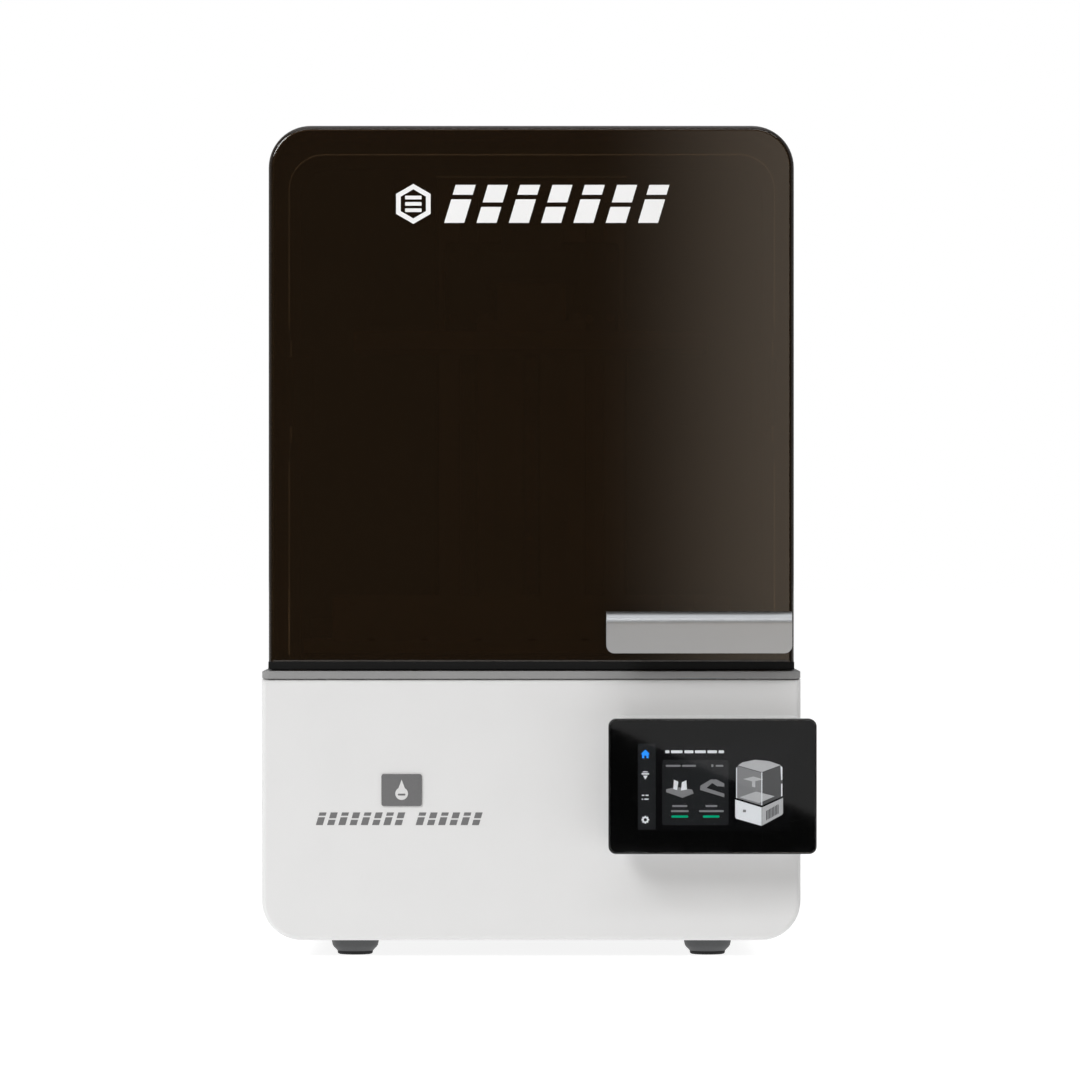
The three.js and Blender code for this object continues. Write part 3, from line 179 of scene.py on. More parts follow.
def boolean(operation, body, *tools):
    """The body after one exact boolean step for each tool."""
    made = []
    for bm in (body, *tools):
        mesh = bpy.data.meshes.new("work")
        bm.to_mesh(mesh)
        bm.free()
        made.append(bpy.data.objects.new("work", mesh))
        bpy.context.scene.collection.objects.link(made[-1])
    for tool in made[1:]:
        step = made[0].modifiers.new("step", "BOOLEAN")
        step.object, step.operation, step.solver = tool, operation, "EXACT"
    result = bmesh.new()
    result.from_object(made[0], bpy.context.evaluated_depsgraph_get())
    for obj in made:
        mesh = obj.data
        bpy.data.objects.remove(obj)
        bpy.data.meshes.remove(mesh)
    return result


def cut(body, *tools):
    return boolean("DIFFERENCE", body, *tools)


def round_edges(obj, width):
    step = obj.modifiers.new("edges", "BEVEL")
    step.width, step.segments, step.limit_method = width * MM, BEVEL_SEGMENTS, "ANGLE"
    step.angle_limit, step.harden_normals = math.radians(BEVEL_ANGLE), True


def even_normals(obj):
    obj.modifiers.new("normals", "WEIGHTED_NORMAL").keep_sharp = True


def piece(name, bm, look, body, replaces=(), bevel=0.0, smooth=35):
    """Makes a visible piece that rides on a CAD body and takes its slot from its material."""
    bmesh.ops.remove_doubles(bm, verts=bm.verts, dist=0.001)
    bmesh.ops.scale(bm, vec=(MM, MM, MM), verts=bm.verts)
    mesh = bpy.data.meshes.new(name)
    bm.to_mesh(mesh)
    bm.free()
    obj = bpy.data.objects.new(name, mesh)
    bpy.context.scene.collection.objects.link(obj)
    mesh.materials.append(look)
    if bevel:
        round_edges(obj, bevel)
    mesh.shade_smooth()
    mesh.set_sharp_from_angle(angle=math.radians(smooth))
    even_normals(obj)
    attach(obj, body)
    if replaces:
        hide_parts(*replaces)


def dress(look, bevel, *nodes):
    """Gives CAD nodes a finish and small rounded edges."""
    for node in nodes:
        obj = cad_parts[node]
        obj.data.materials.clear()
        obj.data.materials.append(look)
        normals = obj.data.attributes.get("custom_normal")
        if normals:
            obj.data.attributes.remove(normals)
        obj.modifiers.new("weld", "WELD").merge_threshold = 0.01 * MM
        flat = obj.modifiers.new("flat", "DECIMATE")
        flat.decimate_type, flat.angle_limit = "DISSOLVE", math.radians(0.5)
        round_edges(obj, bevel)
        obj.data.shade_smooth()
        even_normals(obj)


# ------------------------------------------------------------------------------------------------- materials

CLOUD_SCALE = 28.0
CLOUD_SHARE, GRAIN_SHARE = 0.55, 0.45  # of the mottling
RELIEF = 0.35


def noise(nodes, links, place, scale, detail=3.0):
    made = nodes.new("ShaderNodeTexNoise")
    made.inputs["Scale"].default_value = scale
    made.inputs["Detail"].default_value = detail
    links.new(place, made.inputs["Vector"])
    return made.outputs["Fac"]


def ranged(nodes, links, value, low, high, start=0.3, stop=0.7):
    """Maps start to stop onto low to high. The usual start and stop are a noise's own spread."""
    made = nodes.new("ShaderNodeMapRange")
    made.inputs["From Min"].default_value, made.inputs["From Max"].default_value = start, stop
    made.inputs["To Min"].default_value, made.inputs["To Max"].default_value = low, high
    links.new(value, made.inputs["Value"])
    return made.outputs["Result"]


def finish(slot, colour, roughness, metallic=0.0, mottle=0.05, spread=0.06, grain=700.0, bump=0.03,
           stretch=None, name=None, **sockets):
    """A finish with cloudy colour, uneven gloss and a fine grain. Stretch draws the grain into lines."""
    look = bpy.data.materials.new(name or slot)
    look["slot"] = slot
    look.use_nodes = True
    nodes, links = look.node_tree.nodes, look.node_tree.links
    shader = nodes["Principled BSDF"]
    place = nodes.new("ShaderNodeTexCoord").outputs["Object"]
    drawn = place
    if stretch:
        mapping = nodes.new("ShaderNodeMapping")
        mapping.inputs["Scale"].default_value = stretch
        links.new(place, mapping.inputs["Vector"])
        drawn = mapping.outputs["Vector"]
    clouds = noise(nodes, links, place, CLOUD_SCALE)
    fine = noise(nodes, links, drawn, grain, 2.0)
    tint = nodes.new("ShaderNodeMix")
    tint.data_type = "RGBA"
    tint.inputs["A"].default_value = (*[c * (1 - mottle) for c in colour], 1.0)
    tint.inputs["B"].default_value = (*[min(1.0, c * (1 + mottle)) for c in colour], 1.0)
    blend = nodes.new("ShaderNodeMath")
    blend.operation = "ADD"
    links.new(ranged(nodes, links, clouds, 0.0, CLOUD_SHARE), blend.inputs[0])
    links.new(ranged(nodes, links, fine, 0.0, GRAIN_SHARE), blend.inputs[1])
    links.new(blend.outputs[0], tint.inputs["Factor"])
    links.new(tint.outputs["Result"], shader.inputs["Base Color"])
    gloss = fine if stretch else clouds
    links.new(ranged(nodes, links, gloss, roughness - spread, roughness + spread), shader.inputs["Roughness"])
    relief = nodes.new("ShaderNodeBump")
    relief.inputs["Strength"].default_value = RELIEF
    relief.inputs["Distance"].default_value = bump * MM
    links.new(fine, relief.inputs["Height"])
    links.new(relief.outputs["Normal"], shader.inputs["Normal"])
    shader.inputs["Metallic"].default_value = metallic
    for socket, value in sockets.items():
        shader.inputs[socket.replace("_", " ")].default_value = value
    return look


def glow(name, colour, strength):
    """A lit area of the display."""
    return finish("display", colour, 0.6, mottle=0.03, name=name, bump=0.0, Specular_IOR_Level=0.0,
                  Emission_Color=(*colour, 1.0), Emission_Strength=strength)


white_shell = finish("white_shell", (0.72, 0.72, 0.72), 0.44, mottle=0.012, grain=1400.0, bump=0.02)
deck_grey = finish("deck_grey", (0.26, 0.26, 0.26), 0.5, grain=1200.0)
foot_body = finish("foot_rubber", (0.085, 0.087, 0.09), 0.6, name="foot_body", mottle=0.12, grain=900.0,
                   bump=0.06)
foot_sole = finish("foot_rubber", (0.012, 0.012, 0.013), 0.8, name="foot_sole", mottle=0.2, bump=0.08)
black_plastic = finish("black_plastic", (0.022, 0.022, 0.024), 0.42, mottle=0.15, grain=1500.0, bump=0.04)
gloss_black = finish("black_plastic", (0.012, 0.012, 0.013), 0.2, name="gloss_black", mottle=0.1,
                     spread=0.03, bump=0.0)
switch_plastic = finish("switch_plastic", (0.02, 0.02, 0.022), 0.32, mottle=0.1, bump=0.01)
fan_plastic = finish("fan_plastic", (0.03, 0.03, 0.032), 0.4, mottle=0.1, bump=0.02)
knob_plastic = finish("knob_plastic", (0.024, 0.024, 0.026), 0.45, mottle=0.12, grain=1200.0, bump=0.05)
badge_grey = finish("badge_grey", (0.14, 0.14, 0.143), 0.4, mottle=0.06, bump=0.01)
badge_light = finish("badge_grey", (0.66, 0.66, 0.66), 0.45, name="badge_light", mottle=0.03, bump=0.01)
print_grey = finish("badge_grey", (0.15, 0.15, 0.152), 0.5, name="print_grey", bump=0.01)
print_white = finish("badge_grey", (0.9, 0.9, 0.9), 0.5, name="print_white", mottle=0.02, bump=0.01)
ribbon = finish("ribbon", (0.55, 0.5, 0.42), 0.45, stretch=(400.0, 1.0, 1.0), grain=8.0)
circuit_board = finish("circuit_board", (0.03, 0.14, 0.07), 0.35, mottle=0.3, grain=400.0)
gasket_rubber = finish("gasket_rubber", (0.005, 0.005, 0.005), 0.6, mottle=0.2, grain=800.0, bump=0.05,
                       Specular_IOR_Level=0.15)
tower_black = finish("tower_black", (0.016, 0.015, 0.014), 0.5, mottle=0.15, grain=1500.0, bump=0.04)
black_steel = finish("black_steel", (0.02, 0.02, 0.021), 0.5, mottle=0.2, grain=1100.0, bump=0.1)
satin_aluminium = finish("satin_aluminium", (0.6, 0.61, 0.62), 0.36, 1.0, mottle=0.06,
                         stretch=(6.0, 6.0, 120.0), grain=12.0)
platform_aluminium = finish("platform_aluminium", (0.58, 0.59, 0.6), 0.42, 1.0, mottle=0.1, spread=0.1,
                            grain=1600.0, bump=0.05)
handle_aluminium = finish("handle_aluminium", (0.52, 0.535, 0.555), 0.38, 1.0, mottle=0.015, spread=0.03,
                          stretch=(5.0, 300.0, 300.0), grain=14.0, bump=0.004)
dark_aluminium = finish("dark_aluminium", (0.05, 0.05, 0.053), 0.38, 0.7, mottle=0.12, grain=1300.0)
bright_steel = finish("bright_steel", (0.64, 0.65, 0.66), 0.2, 1.0, stretch=(120.0, 120.0, 4.0), grain=10.0)
nut_brass = finish("nut_brass", (0.7, 0.5, 0.2), 0.3, 1.0, mottle=0.1, grain=300.0)
lcd_glass = finish("lcd_glass", (0.01, 0.012, 0.016), 0.06, spread=0.02, bump=0.0)
lens = finish("lens", (0.86, 0.9, 0.92), 0.1, spread=0.03, bump=0.0, Transmission_Weight=0.9, IOR=1.49)
clear_film = finish("clear_film", (0.9, 0.92, 0.94), 0.08, spread=0.03, bump=0.0,
                    Transmission_Weight=0.95, IOR=1.35)
cover_glass = finish("screen_glass", (0.96, 0.97, 0.97), 0.02, spread=0.01, bump=0.0, mottle=0.01,
                     Transmission_Weight=1.0, IOR=1.5)
amber_acrylic = finish("amber_acrylic", (0.082, 0.049, 0.024), 0.03, mottle=0.04, spread=0.012, bump=0.0,
                       Transmission_Weight=0.87, IOR=1.49)
display_black = finish("display", (0.002, 0.002, 0.002), 0.6, mottle=0.1, bump=0.0, Specular_IOR_Level=0.0)
display_panel = glow("display_panel", (0.003, 0.003, 0.0035), 0.3)
display_grey = glow("display_grey", (0.012, 0.0125, 0.0135), 0.8)
display_text = glow("display_text", (0.55, 0.56, 0.58), 0.8)
display_soft = glow("display_soft", (0.36, 0.36, 0.37), 0.7)
display_mid = glow("display_mid", (0.16, 0.16, 0.165), 0.8)
display_dim = glow("display_dim", (0.06, 0.06, 0.062), 0.8)
display_blue = glow("display_blue", (0.02, 0.22, 0.8), 1.0)
display_green = glow("display_green", (0.0, 0.3, 0.14), 0.7)


# ------------------------------------------------------------------------------------------------------ base

BASE_CORNER = 25.0
BASE_EDGE = 3.0
WALL = 3.0
GAP = 0.3  # room round a part that sits in a cut-out
# the sides' vents, and the grille behind the exhaust fan with its rows above and below the middle
VENT_ROWS, VENT_PITCH, VENT_HEIGHT, VENT_LENGTH = 10, 9.0, 3.5, 82.0
VENT_TOP = shell_high.z - 30.0
VENT_MIDDLE = FRONT + 0.41 * (REAR - FRONT)
EXHAUST_ROWS, EXHAUST_PITCH, EXHAUST_HALF, EXHAUST_MARGIN = 4, 6, 1.5, 3
BOSS_LEFT, BOSS_LOW, BOSS_TOP = 4.8, 2.8, 2.0  # the boss's edges from the cover glass's
BOTTOM_LIP = 6
INLET_HOLE, SWITCH_HOLE, USB_HOLE = (14.3, 10.8), (8.3, 14.3), (7.2, 3.5)  # half width, half height
REAR_CUT = 6  # depth of the cut-outs in the rear and right walls
RIBBON_UNDER, RIBBON_OVER = 2.2, 1.8  # the slot's edges from the ribbon cable's top
WINDOW_INSET, SCREW_HOLE, STUD_HOLE = 8, 6.5, 3.4
SLOT_STEPS = 4
PRINT_Z, PRINT_HEIGHT, PRINT_PITCH = 87.3, 8.0, 7.1
PRINT_DEPTH = 0.12
PRINT_ROWS = ((8, MIDDLE - 136.0), (6, MIDDLE - 73.0))  # blocks, left end


def base_outline(inset, top):
    radii = (BASE_CORNER - inset, BASE_CORNER - inset, 0.4, 0.4)
    return rectangle(LEFT + inset, RIGHT - inset, shell_low.z + inset, top, radii, 12)


def side_vents():
    slots = []
    for row in range(VENT_ROWS):
        top = VENT_TOP - row * VENT_PITCH
        outline = rectangle(VENT_MIDDLE - VENT_LENGTH / 2, VENT_MIDDLE + VENT_LENGTH / 2,
                            top - VENT_HEIGHT, top, VENT_HEIGHT / 2 - HAIR, SLOT_STEPS)
        for x0, x1 in ((LEFT - PAST, LEFT + BASE_CORNER), (RIGHT - BASE_CORNER, RIGHT + PAST)):
            slots.append(slab(outline, x0, x1, sideways))
    return slots


def exhaust_slots():
    """Slots that together make a round grille behind the exhaust fan."""
    low, high = node_box("exhaust_fan_frame")
    x, _, z = middle("exhaust_fan_frame")
    reach = (high.x - low.x) / 2 - EXHAUST_MARGIN
    slots = []
    for row in range(-EXHAUST_ROWS, EXHAUST_ROWS + 1):
        half = math.sqrt(reach ** 2 - (abs(row) * EXHAUST_PITCH + EXHAUST_HALF) ** 2)
        at = z + row * EXHAUST_PITCH
        outline = rectangle(x - half, x + half, at - EXHAUST_HALF, at + EXHAUST_HALF, 1.45, SLOT_STEPS)
        slots.append(slab(outline, REAR - 10, REAR + PAST, frontal))
    return slots


def ribbon_slot(y0, y1):
    low, high = node_box("screen_ribbon_cable")
    return block(low.x - 1, high.x + 1, y0, y1, high.z - RIBBON_UNDER, high.z + RIBBON_OVER)


def base_shell():
    """One moulded shell: round lower corners, a boss that carries the screen, vents and rear cut-outs."""
    outside = slab(base_outline(0, shell_high.z), FRONT, REAR, frontal, BASE_EDGE, BASE_EDGE)
    inside = slab(base_outline(WALL, shell_high.z + 5), FRONT + WALL, REAR - WALL, frontal)
    boss_left, boss_low, boss_top = glass_low.x + BOSS_LEFT, glass_low.z + BOSS_LOW, glass_high.z + BOSS_TOP
    boss = slab(rectangle(boss_left, RIGHT, boss_low, boss_top, 4), shell_low.y, FRONT + 6, frontal, 1.5)
    hollow = rectangle(boss_left + WALL, RIGHT - WALL, boss_low + WALL, boss_top - WALL, 2)
    boss_hollow = slab(hollow, shell_low.y + WALL, FRONT + 7, frontal)
    low, high = node_box("base_bottom_plate")
    plate_seat = block(low.x - GAP, high.x + GAP, low.y - GAP, high.y + GAP, shell_low.z - PAST, high.z + GAP)
    opening = block(low.x + BOTTOM_LIP, high.x - BOTTOM_LIP, low.y + BOTTOM_LIP, high.y - BOTTOM_LIP,
                    shell_low.z, shell_low.z + BOTTOM_LIP)
    _, y, z = middle("usb_port")
    usb = rectangle(y - USB_HOLE[0], y + USB_HOLE[0], z - USB_HOLE[1], z + USB_HOLE[1], 0.8, 3)
    holes = [slab(usb, RIGHT - REAR_CUT, RIGHT + PAST, sideways)]
    z = middle("power_inlet")[2]
    for node, (across, up) in (("power_inlet", INLET_HOLE), ("power_switch_frame", SWITCH_HOLE)):
        x = middle(node)[0]
        holes.append(block(x - across, x + across, REAR - REAR_CUT, REAR + PAST, z - up, z + up))
    holes = group(*holes, *side_vents(), *exhaust_slots())
    shell = cut(boolean("UNION", outside, boss), inside, boss_hollow, ribbon_slot(shell_low.y - PAST, FRONT),
                plate_seat, opening, holes)
    piece("base_shell", shell, white_shell, "base", ("base_housing",), bevel=0.25)


def deck():
    """The grey plate on the base, with its window and the holes for the lift screw and vat knobs."""
    low, high = node_box("lcd_panel")
    holes = []
    for node, radius, steps in (("z_screw", SCREW_HOLE, 48), ("vat_knob_left", STUD_HOLE, 24),
                                ("vat_knob_right", STUD_HOLE, 24)):
        x, y, _ = middle(node)
        holes.append(turned([(radius, deck_low.z - PAST), (radius, deck_high.z + PAST)], x, y, steps=steps))
    window = block(low.x + WINDOW_INSET, high.x - WINDOW_INSET, low.y + WINDOW_INSET, high.y - WINDOW_INSET,
                   deck_low.z - PAST, deck_high.z + PAST)
    plate = slab(rectangle(LEFT, RIGHT, FRONT, REAR, 5.0), deck_low.z, deck_high.z, upright, 0.8, 0.8)
    piece("deck_cover", cut(plate, window, *holes), deck_grey, "base", ("deck_plate",), bevel=0.2)


def feet():
    """Round feet that widen upwards, each on a narrower rubber sole."""
    for end in ("front", "rear"):
        for side in ("left", "right"):
            node = f"foot_{end}_{side}"
            low, high = node_box(node)
            x, y, _ = middle(node)
            radius = (high.x - low.x) / 2
            body = [(radius - 4.1, 2.2), (radius - 3.3, 3.2), (radius - 2.0, 4.4), (radius - 1.1, 5.8),
                    (radius - 0.7, 7.6), (radius - 0.3, 9.4), (radius, high.z - 0.35), (radius - 0.3, high.z)]
            sole = [(radius - 5.6, 0.0), (radius - 4.7, 0.35), (radius - 4.3, 1.1), (radius - 4.3, 2.2)]
            piece(f"{node}_body", turned(body, x, y, steps=64), foot_body, "base", (node,), smooth=40)
            piece(f"{node}_sole", turned(sole, x, y, steps=64), foot_sole, "base", smooth=40)


def stencil_row(count, left, z, height, pitch, near, far):
    """A row of slanted blocks in place of words, each crossed by a thin gap."""
    slant, width, solids = 0.3 * height, 0.62 * pitch, []
    for k in range(count):
        x = left + k * pitch
        levels = (0.0, 0.42, 0.54, 1.0) if k % 2 else (0.0, 0.62, 0.74, 1.0)
        for low, high in (levels[:2], levels[2:]):
            z0, z1 = z + height * (low - 0.5), z + height * (high - 0.5)
            corners = [(x + slant * low, z0), (x + slant * low + width, z0),
                       (x + slant * high + width, z1), (x + slant * high, z1)]
            solids.append(slab(polygon(corners), near, far, frontal))
    return solids


def front_marks():
    """A plain badge with a resin drop, and two rows of slanted blocks in place of words."""
    low, high = node_box("front_badge")
    x, _, z = middle("front_badge")
    badge = slab(rectangle(low.x, high.x, low.z, high.z, 1.5), low.y, FRONT - 0.02, frontal, 0.35)
    piece("badge_plate", badge, badge_grey, "base", ("front_badge",))
    drop = slab(polygon([*arc(x, z - 2.2, 4.0, -240, 60, 32), (x, z + 6.6)]), low.y - PRINT_DEPTH,
                low.y + 0.05, frontal)
    wave = rectangle(x - 2.4, x + 2.4, z - 3.4, z - 2.2, 0.55, 4)
    drop_mark = cut(drop, slab(wave, low.y - PAST, low.y + PAST, frontal))
    piece("badge_drop", drop_mark, badge_light, "base")
    marks = []
    for count, left in PRINT_ROWS:
        marks += stencil_row(count, left, PRINT_Z, PRINT_HEIGHT, PRINT_PITCH, FRONT - PRINT_DEPTH,
                             FRONT - HAIR)
    piece("front_marks", group(*marks), print_grey, "base")


# ---------------------------------------------------------------------------------------------- touch screen

SCREEN_CORNER = 4.8
CASE_WALL = 2.8
MASK_WINDOW = (17.2, 113.4, 13.9, 68.9)  # from the glass's lower left corner, as all the shapes below are
LAYER_GAP, LAYER_PITCH, LAYER_DEPTH = 0.02, 0.04, 0.03
ICON_X, ICON_GEAR_Z = 22.3, 20.7


def at_glass(outline):
    """Moves an outline given from the glass's lower left corner into the row frame."""
    return [(glass_low.x + u, glass_low.z + v) for u, v in outline]


def lit(name, look, outlines, layer=0):
    """Lit shapes on the display's face, in thin layers towards the viewer."""
    face = node_box("screen_display")[0].y - LAYER_GAP - LAYER_PITCH * layer
    solids = [slab(polygon(at_glass(outline)), face - LAYER_DEPTH, face, frontal) for outline in outlines]
    piece(name, group(*solids), look, "base")


def bar(u0, u1, v0, v1, radius=0.4):
    return rectangle(u0, u1, v0, v1, min(radius, (v1 - v0) / 2 - HAIR), 3)()


def ring(u, v, radius, teeth=0, depth=0.0, steps=48):
    """A round outline, with teeth where a number is given."""
    points = []
    for k in range(steps):
        angle = math.tau * k / steps
        reach = radius - (depth if teeth and math.cos(teeth * angle) < 0 else 0.0)
        points.append((u + reach * math.cos(angle), v + reach * math.sin(angle)))
    return points


def around_glass(grow, corner):
    return rectangle(glass_low.x - grow, glass_high.x + grow, glass_low.z - grow, glass_high.z + grow, corner)


def screen():
    """The screen's case, cover glass and black mask round the lit display."""
    low, high = node_box("screen_housing")
    outline = rectangle(low.x, high.x, low.z, high.z, SCREEN_CORNER)
    hollow = rectangle(low.x + CASE_WALL, high.x - CASE_WALL, low.z + CASE_WALL, high.z - CASE_WALL, 3.0)
    case = cut(
        slab(outline, low.y, high.y, frontal, 0.5, 1.6),
        slab(around_glass(GAP, SCREEN_CORNER - 0.5), low.y - PAST, glass_high.y + GAP, frontal),
        slab(hollow, low.y + 1, high.y - 2, frontal),
        ribbon_slot(low.y + 2, high.y + PAST),
    )
    piece("screen_case", case, gloss_black, "base", ("screen_housing",), bevel=0.15)
    pane = slab(around_glass(0, SCREEN_CORNER - 0.8), glass_low.y, glass_high.y, frontal, 0.25)
    piece("screen_cover_glass", pane, cover_glass, "base", ("screen_glass",))
    window = slab(polygon(at_glass(bar(*MASK_WINDOW))), glass_low.y - PAST, glass_high.y + PAST, frontal)
    sheet = slab(around_glass(-GAP, SCREEN_CORNER - 1), glass_high.y + 0.02, glass_high.y + 0.12, frontal)
    piece("screen_mask", cut(sheet, window), display_black, "base")
    dress(display_panel, 0.1, "screen_display")


def display_picture():
    """What the display shows: a side bar of icons, a heading and a card with two pictures."""
    lit("ui_sidebar", display_grey, [bar(17.8, 28.8, 14.5, 68.3, 0.1)])
    house = [(20.3, 61.8), (20.3, 59.3), (21.6, 59.3), (21.6, 61.0), (23.0, 61.0), (23.0, 59.3),
             (24.3, 59.3), (24.3, 61.8), (25.1, 61.8), (22.3, 64.6), (19.5, 61.8)]
    lit("ui_icon_home", display_blue, [house], 1)
    lit("ui_icons", display_text, [
        bar(19.9, 24.7, 49.0, 49.9), [(20.8, 48.4), (22.3, 45.9), (23.8, 48.4)],
        bar(20.7, 23.9, 50.4, 51.0), bar(20.0, 21.8, 35.6, 36.4), bar(22.4, 24.4, 35.6, 36.4),
        bar(20.0, 20.9, 33.2, 34.0), bar(21.6, 24.4, 33.2, 34.0), ring(ICON_X, ICON_GEAR_Z, 2.5, 8, 0.5),
    ], 1)
    lit("ui_icon_centre", display_grey, [ring(ICON_X, ICON_GEAR_Z, 1.0)], 2)
    words = [(34.8, 37.4), (38.4, 45.6), (46.8, 52.4), (53.4, 60.2), (61.2, 67.2), (68.2, 71.6)]
    lit("ui_heading", display_text, [bar(u0, u1, 62.4, 64.2) for u0, u1 in words])
    lit("ui_card", display_grey, [bar(32.9, 74.5, 17.3, 58.3, 1.2)])
    lit("ui_card_words", display_mid, [
        bar(35.2, 44.4, 53.9, 55.1), bar(45.4, 54.0, 53.9, 55.1), bar(63.6, 65.0, 53.8, 55.4),
        bar(66.4, 71.2, 53.9, 55.1), bar(39.2, 48.6, 28.7, 29.9), bar(38.4, 49.4, 25.5, 26.7),
        bar(60.0, 67.4, 28.7, 29.9), bar(56.0, 71.4, 25.5, 26.7),
    ], 1)
    lit("ui_card_green", display_green,
        [bar(38.6, 49.2, 22.0, 23.4, 0.7), bar(58.4, 68.8, 22.0, 23.4, 0.7)], 1)
    lit("ui_pictures", display_mid, [
        [(35.4, 38.0), (45.6, 34.4), (52.6, 37.2), (51.6, 39.6), (42.0, 41.2), (35.4, 39.8)],
        [(56.6, 39.4), (71.8, 34.8), (71.8, 37.0), (60.6, 40.6), (66.6, 45.8), (63.4, 46.0), (56.8, 42.0)],
        [(66.4, 46.2), (71.8, 43.4), (71.8, 41.4), (67.2, 41.8), (63.2, 44.4)],
    ], 1)
    lit("ui_picture_lights", display_text, [
        [(39.8, 40.0), (42.2, 39.2), (43.0, 44.6), (40.2, 45.8)],
        [(44.6, 39.0), (48.4, 39.6), (48.0, 45.4), (45.2, 44.2)],
    ], 2)


def small_printer():
    """The display's picture of the printer itself, seen from its front right."""
    faces = {
        "front": (display_text, [(78.6, 33.4), (78.6, 22.4), (79.2, 21.4), (94.6, 17.0), (95.2, 17.0),
                                 (95.2, 28.4)]),
        "flank": (display_soft, [(95.4, 28.4), (95.4, 17.0), (108.0, 23.8), (108.6, 24.8), (108.6, 34.4)]),
        "hood_front": (display_mid, [(79.4, 34.4), (79.4, 53.0), (80.4, 54.4), (95.2, 50.2), (95.2, 29.6)]),
        "hood_flank": (display_dim, [(95.4, 29.6), (95.4, 50.2), (107.2, 54.6), (108.2, 53.4),
                                     (108.2, 35.4)]),
        "hood_top": (display_soft, [(80.4, 54.7), (83.0, 56.6), (91.0, 58.3), (100.0, 57.4), (107.2, 54.9),
                                    (95.3, 50.5)]),
    }
    for name, (look, outline) in faces.items():
        lit(f"ui_printer_{name}", look, [outline])
    lit("ui_printer_inside", display_soft, [
        [(83.6, 46.2), (89.8, 44.6), (96.2, 46.0), (90.0, 47.8)],
        [(89.2, 41.4), (91.2, 41.0), (91.2, 45.4), (89.2, 45.4)],
        [(81.4, 34.8), (93.6, 31.2), (103.4, 35.4), (91.6, 38.4)],
    ], 1)
    rows = [bar(98.0 + k * 0.9, 98.6 + k * 0.9, 20.4 + k * 0.5, 26.4 + k * 0.5, 0.2) for k in range(9)]
    lit("ui_printer_grille", display_dim, rows, 1)
    lit("ui_printer_edges", display_text, [
        [(107.0, 54.6), (108.2, 53.6), (108.2, 45.8), (107.4, 45.4)],
        [(107.4, 43.2), (108.2, 43.4), (108.2, 35.6), (107.4, 35.2)],
        [(95.0, 50.4), (95.6, 50.4), (95.6, 29.8), (95.0, 29.8)],
        [(79.2, 34.4), (79.8, 34.2), (79.8, 53.6), (79.2, 53.2)],
    ], 2)
    lit("ui_printer_mark", display_mid, [bar(83.4, 85.4, 25.4, 27.0, 0.3)], 1)


# ------------------------------------------------------------------------------------------------------ hood

HOOD_CORNER = 26.5
HOOD_EDGE = 3.5
HOOD_REAR_CORNER = 34.0
HOOD_STEPS = 14
MARK_RIGHT, MARK_DOWN, MARK_HALF = 2.0, 49.5, 12.0  # from the printer's middle and the hood's top
MARK_DEPTH = 0.15
SHIELD_GAP, SHIELD_HALF, SHIELD_TOOL, TOWER_CORNER = 0.3, 1.5, 5, 20.3
BAFFLE_NEAR, BAFFLE_FAR, BAFFLE_UNDER, BAFFLE_OVER = 33, 36, 24, 20  # behind the hinge, and round its leaf
HANDLE_BEND, HANDLE_THICK, HANDLE_CORNER = 8.0, 3.0, 5.0


def arch(inset, bottom):
    """The hood's outline from the front."""
    radii = (0.05, 0.05, HOOD_CORNER - inset, HOOD_CORNER - inset)
    return rectangle(hood_low.x + inset, hood_high.x - inset, bottom, hood_high.z - inset, radii, HOOD_STEPS)


def hood():
    """The dark cover: one bent and bonded shell, open below and behind, with a round lower rear corner."""
    over = 20
    outside = slab(arch(0, hood_low.z), hood_low.y, hood_high.y, frontal, HOOD_EDGE)
    inside = slab(arch(WALL, hood_low.z - over), hood_low.y + WALL, hood_high.y + over, frontal)
    y, z, r = hood_high.y - HOOD_REAR_CORNER, hood_low.z + HOOD_REAR_CORNER, HOOD_REAR_CORNER
    corner = [*arc(y, z, r, 0, -90, HOOD_STEPS), (y, hood_low.z - PAST),
              (hood_high.y + PAST, hood_low.z - PAST), (hood_high.y + PAST, z)]
    shell = cut(outside, inside, slab(polygon(corner), hood_low.x - PAST, hood_high.x + PAST, sideways))
    piece("hood_cover", shell, amber_acrylic, "hood", ("hood_shell",), bevel=0.3)


def hood_mark():
    """A generic printed mark: a hexagon with three bars inside, and a row of slanted blocks."""
    x, z = MIDDLE + MARK_RIGHT, hood_high.z - MARK_DOWN
    near, far = hood_low.y - MARK_DEPTH, hood_low.y - HAIR
    centre = x - 76.5
    outer, inner = (polygon(arc(centre, z, MARK_HALF + grow, 30, 330, 5)) for grow in (0.6, -2.8))
    rim_mark = cut(slab(outer, near, far, frontal), slab(inner, near - PAST, far + PAST, frontal))
    bars = []
    for dz in (-4.0, 0.0, 4.0):
        outline = rectangle(centre - 5.2, centre + 5.2, z + dz - 1.15, z + dz + 1.15, 0.5, 3)
        bars.append(slab(outline, near, far, frontal))
    blocks = stencil_row(7, x - 57.0, z, 2 * MARK_HALF, 20.4, near, far)
    piece("hood_mark", group(rim_mark, *bars, *blocks), print_white, "hood")


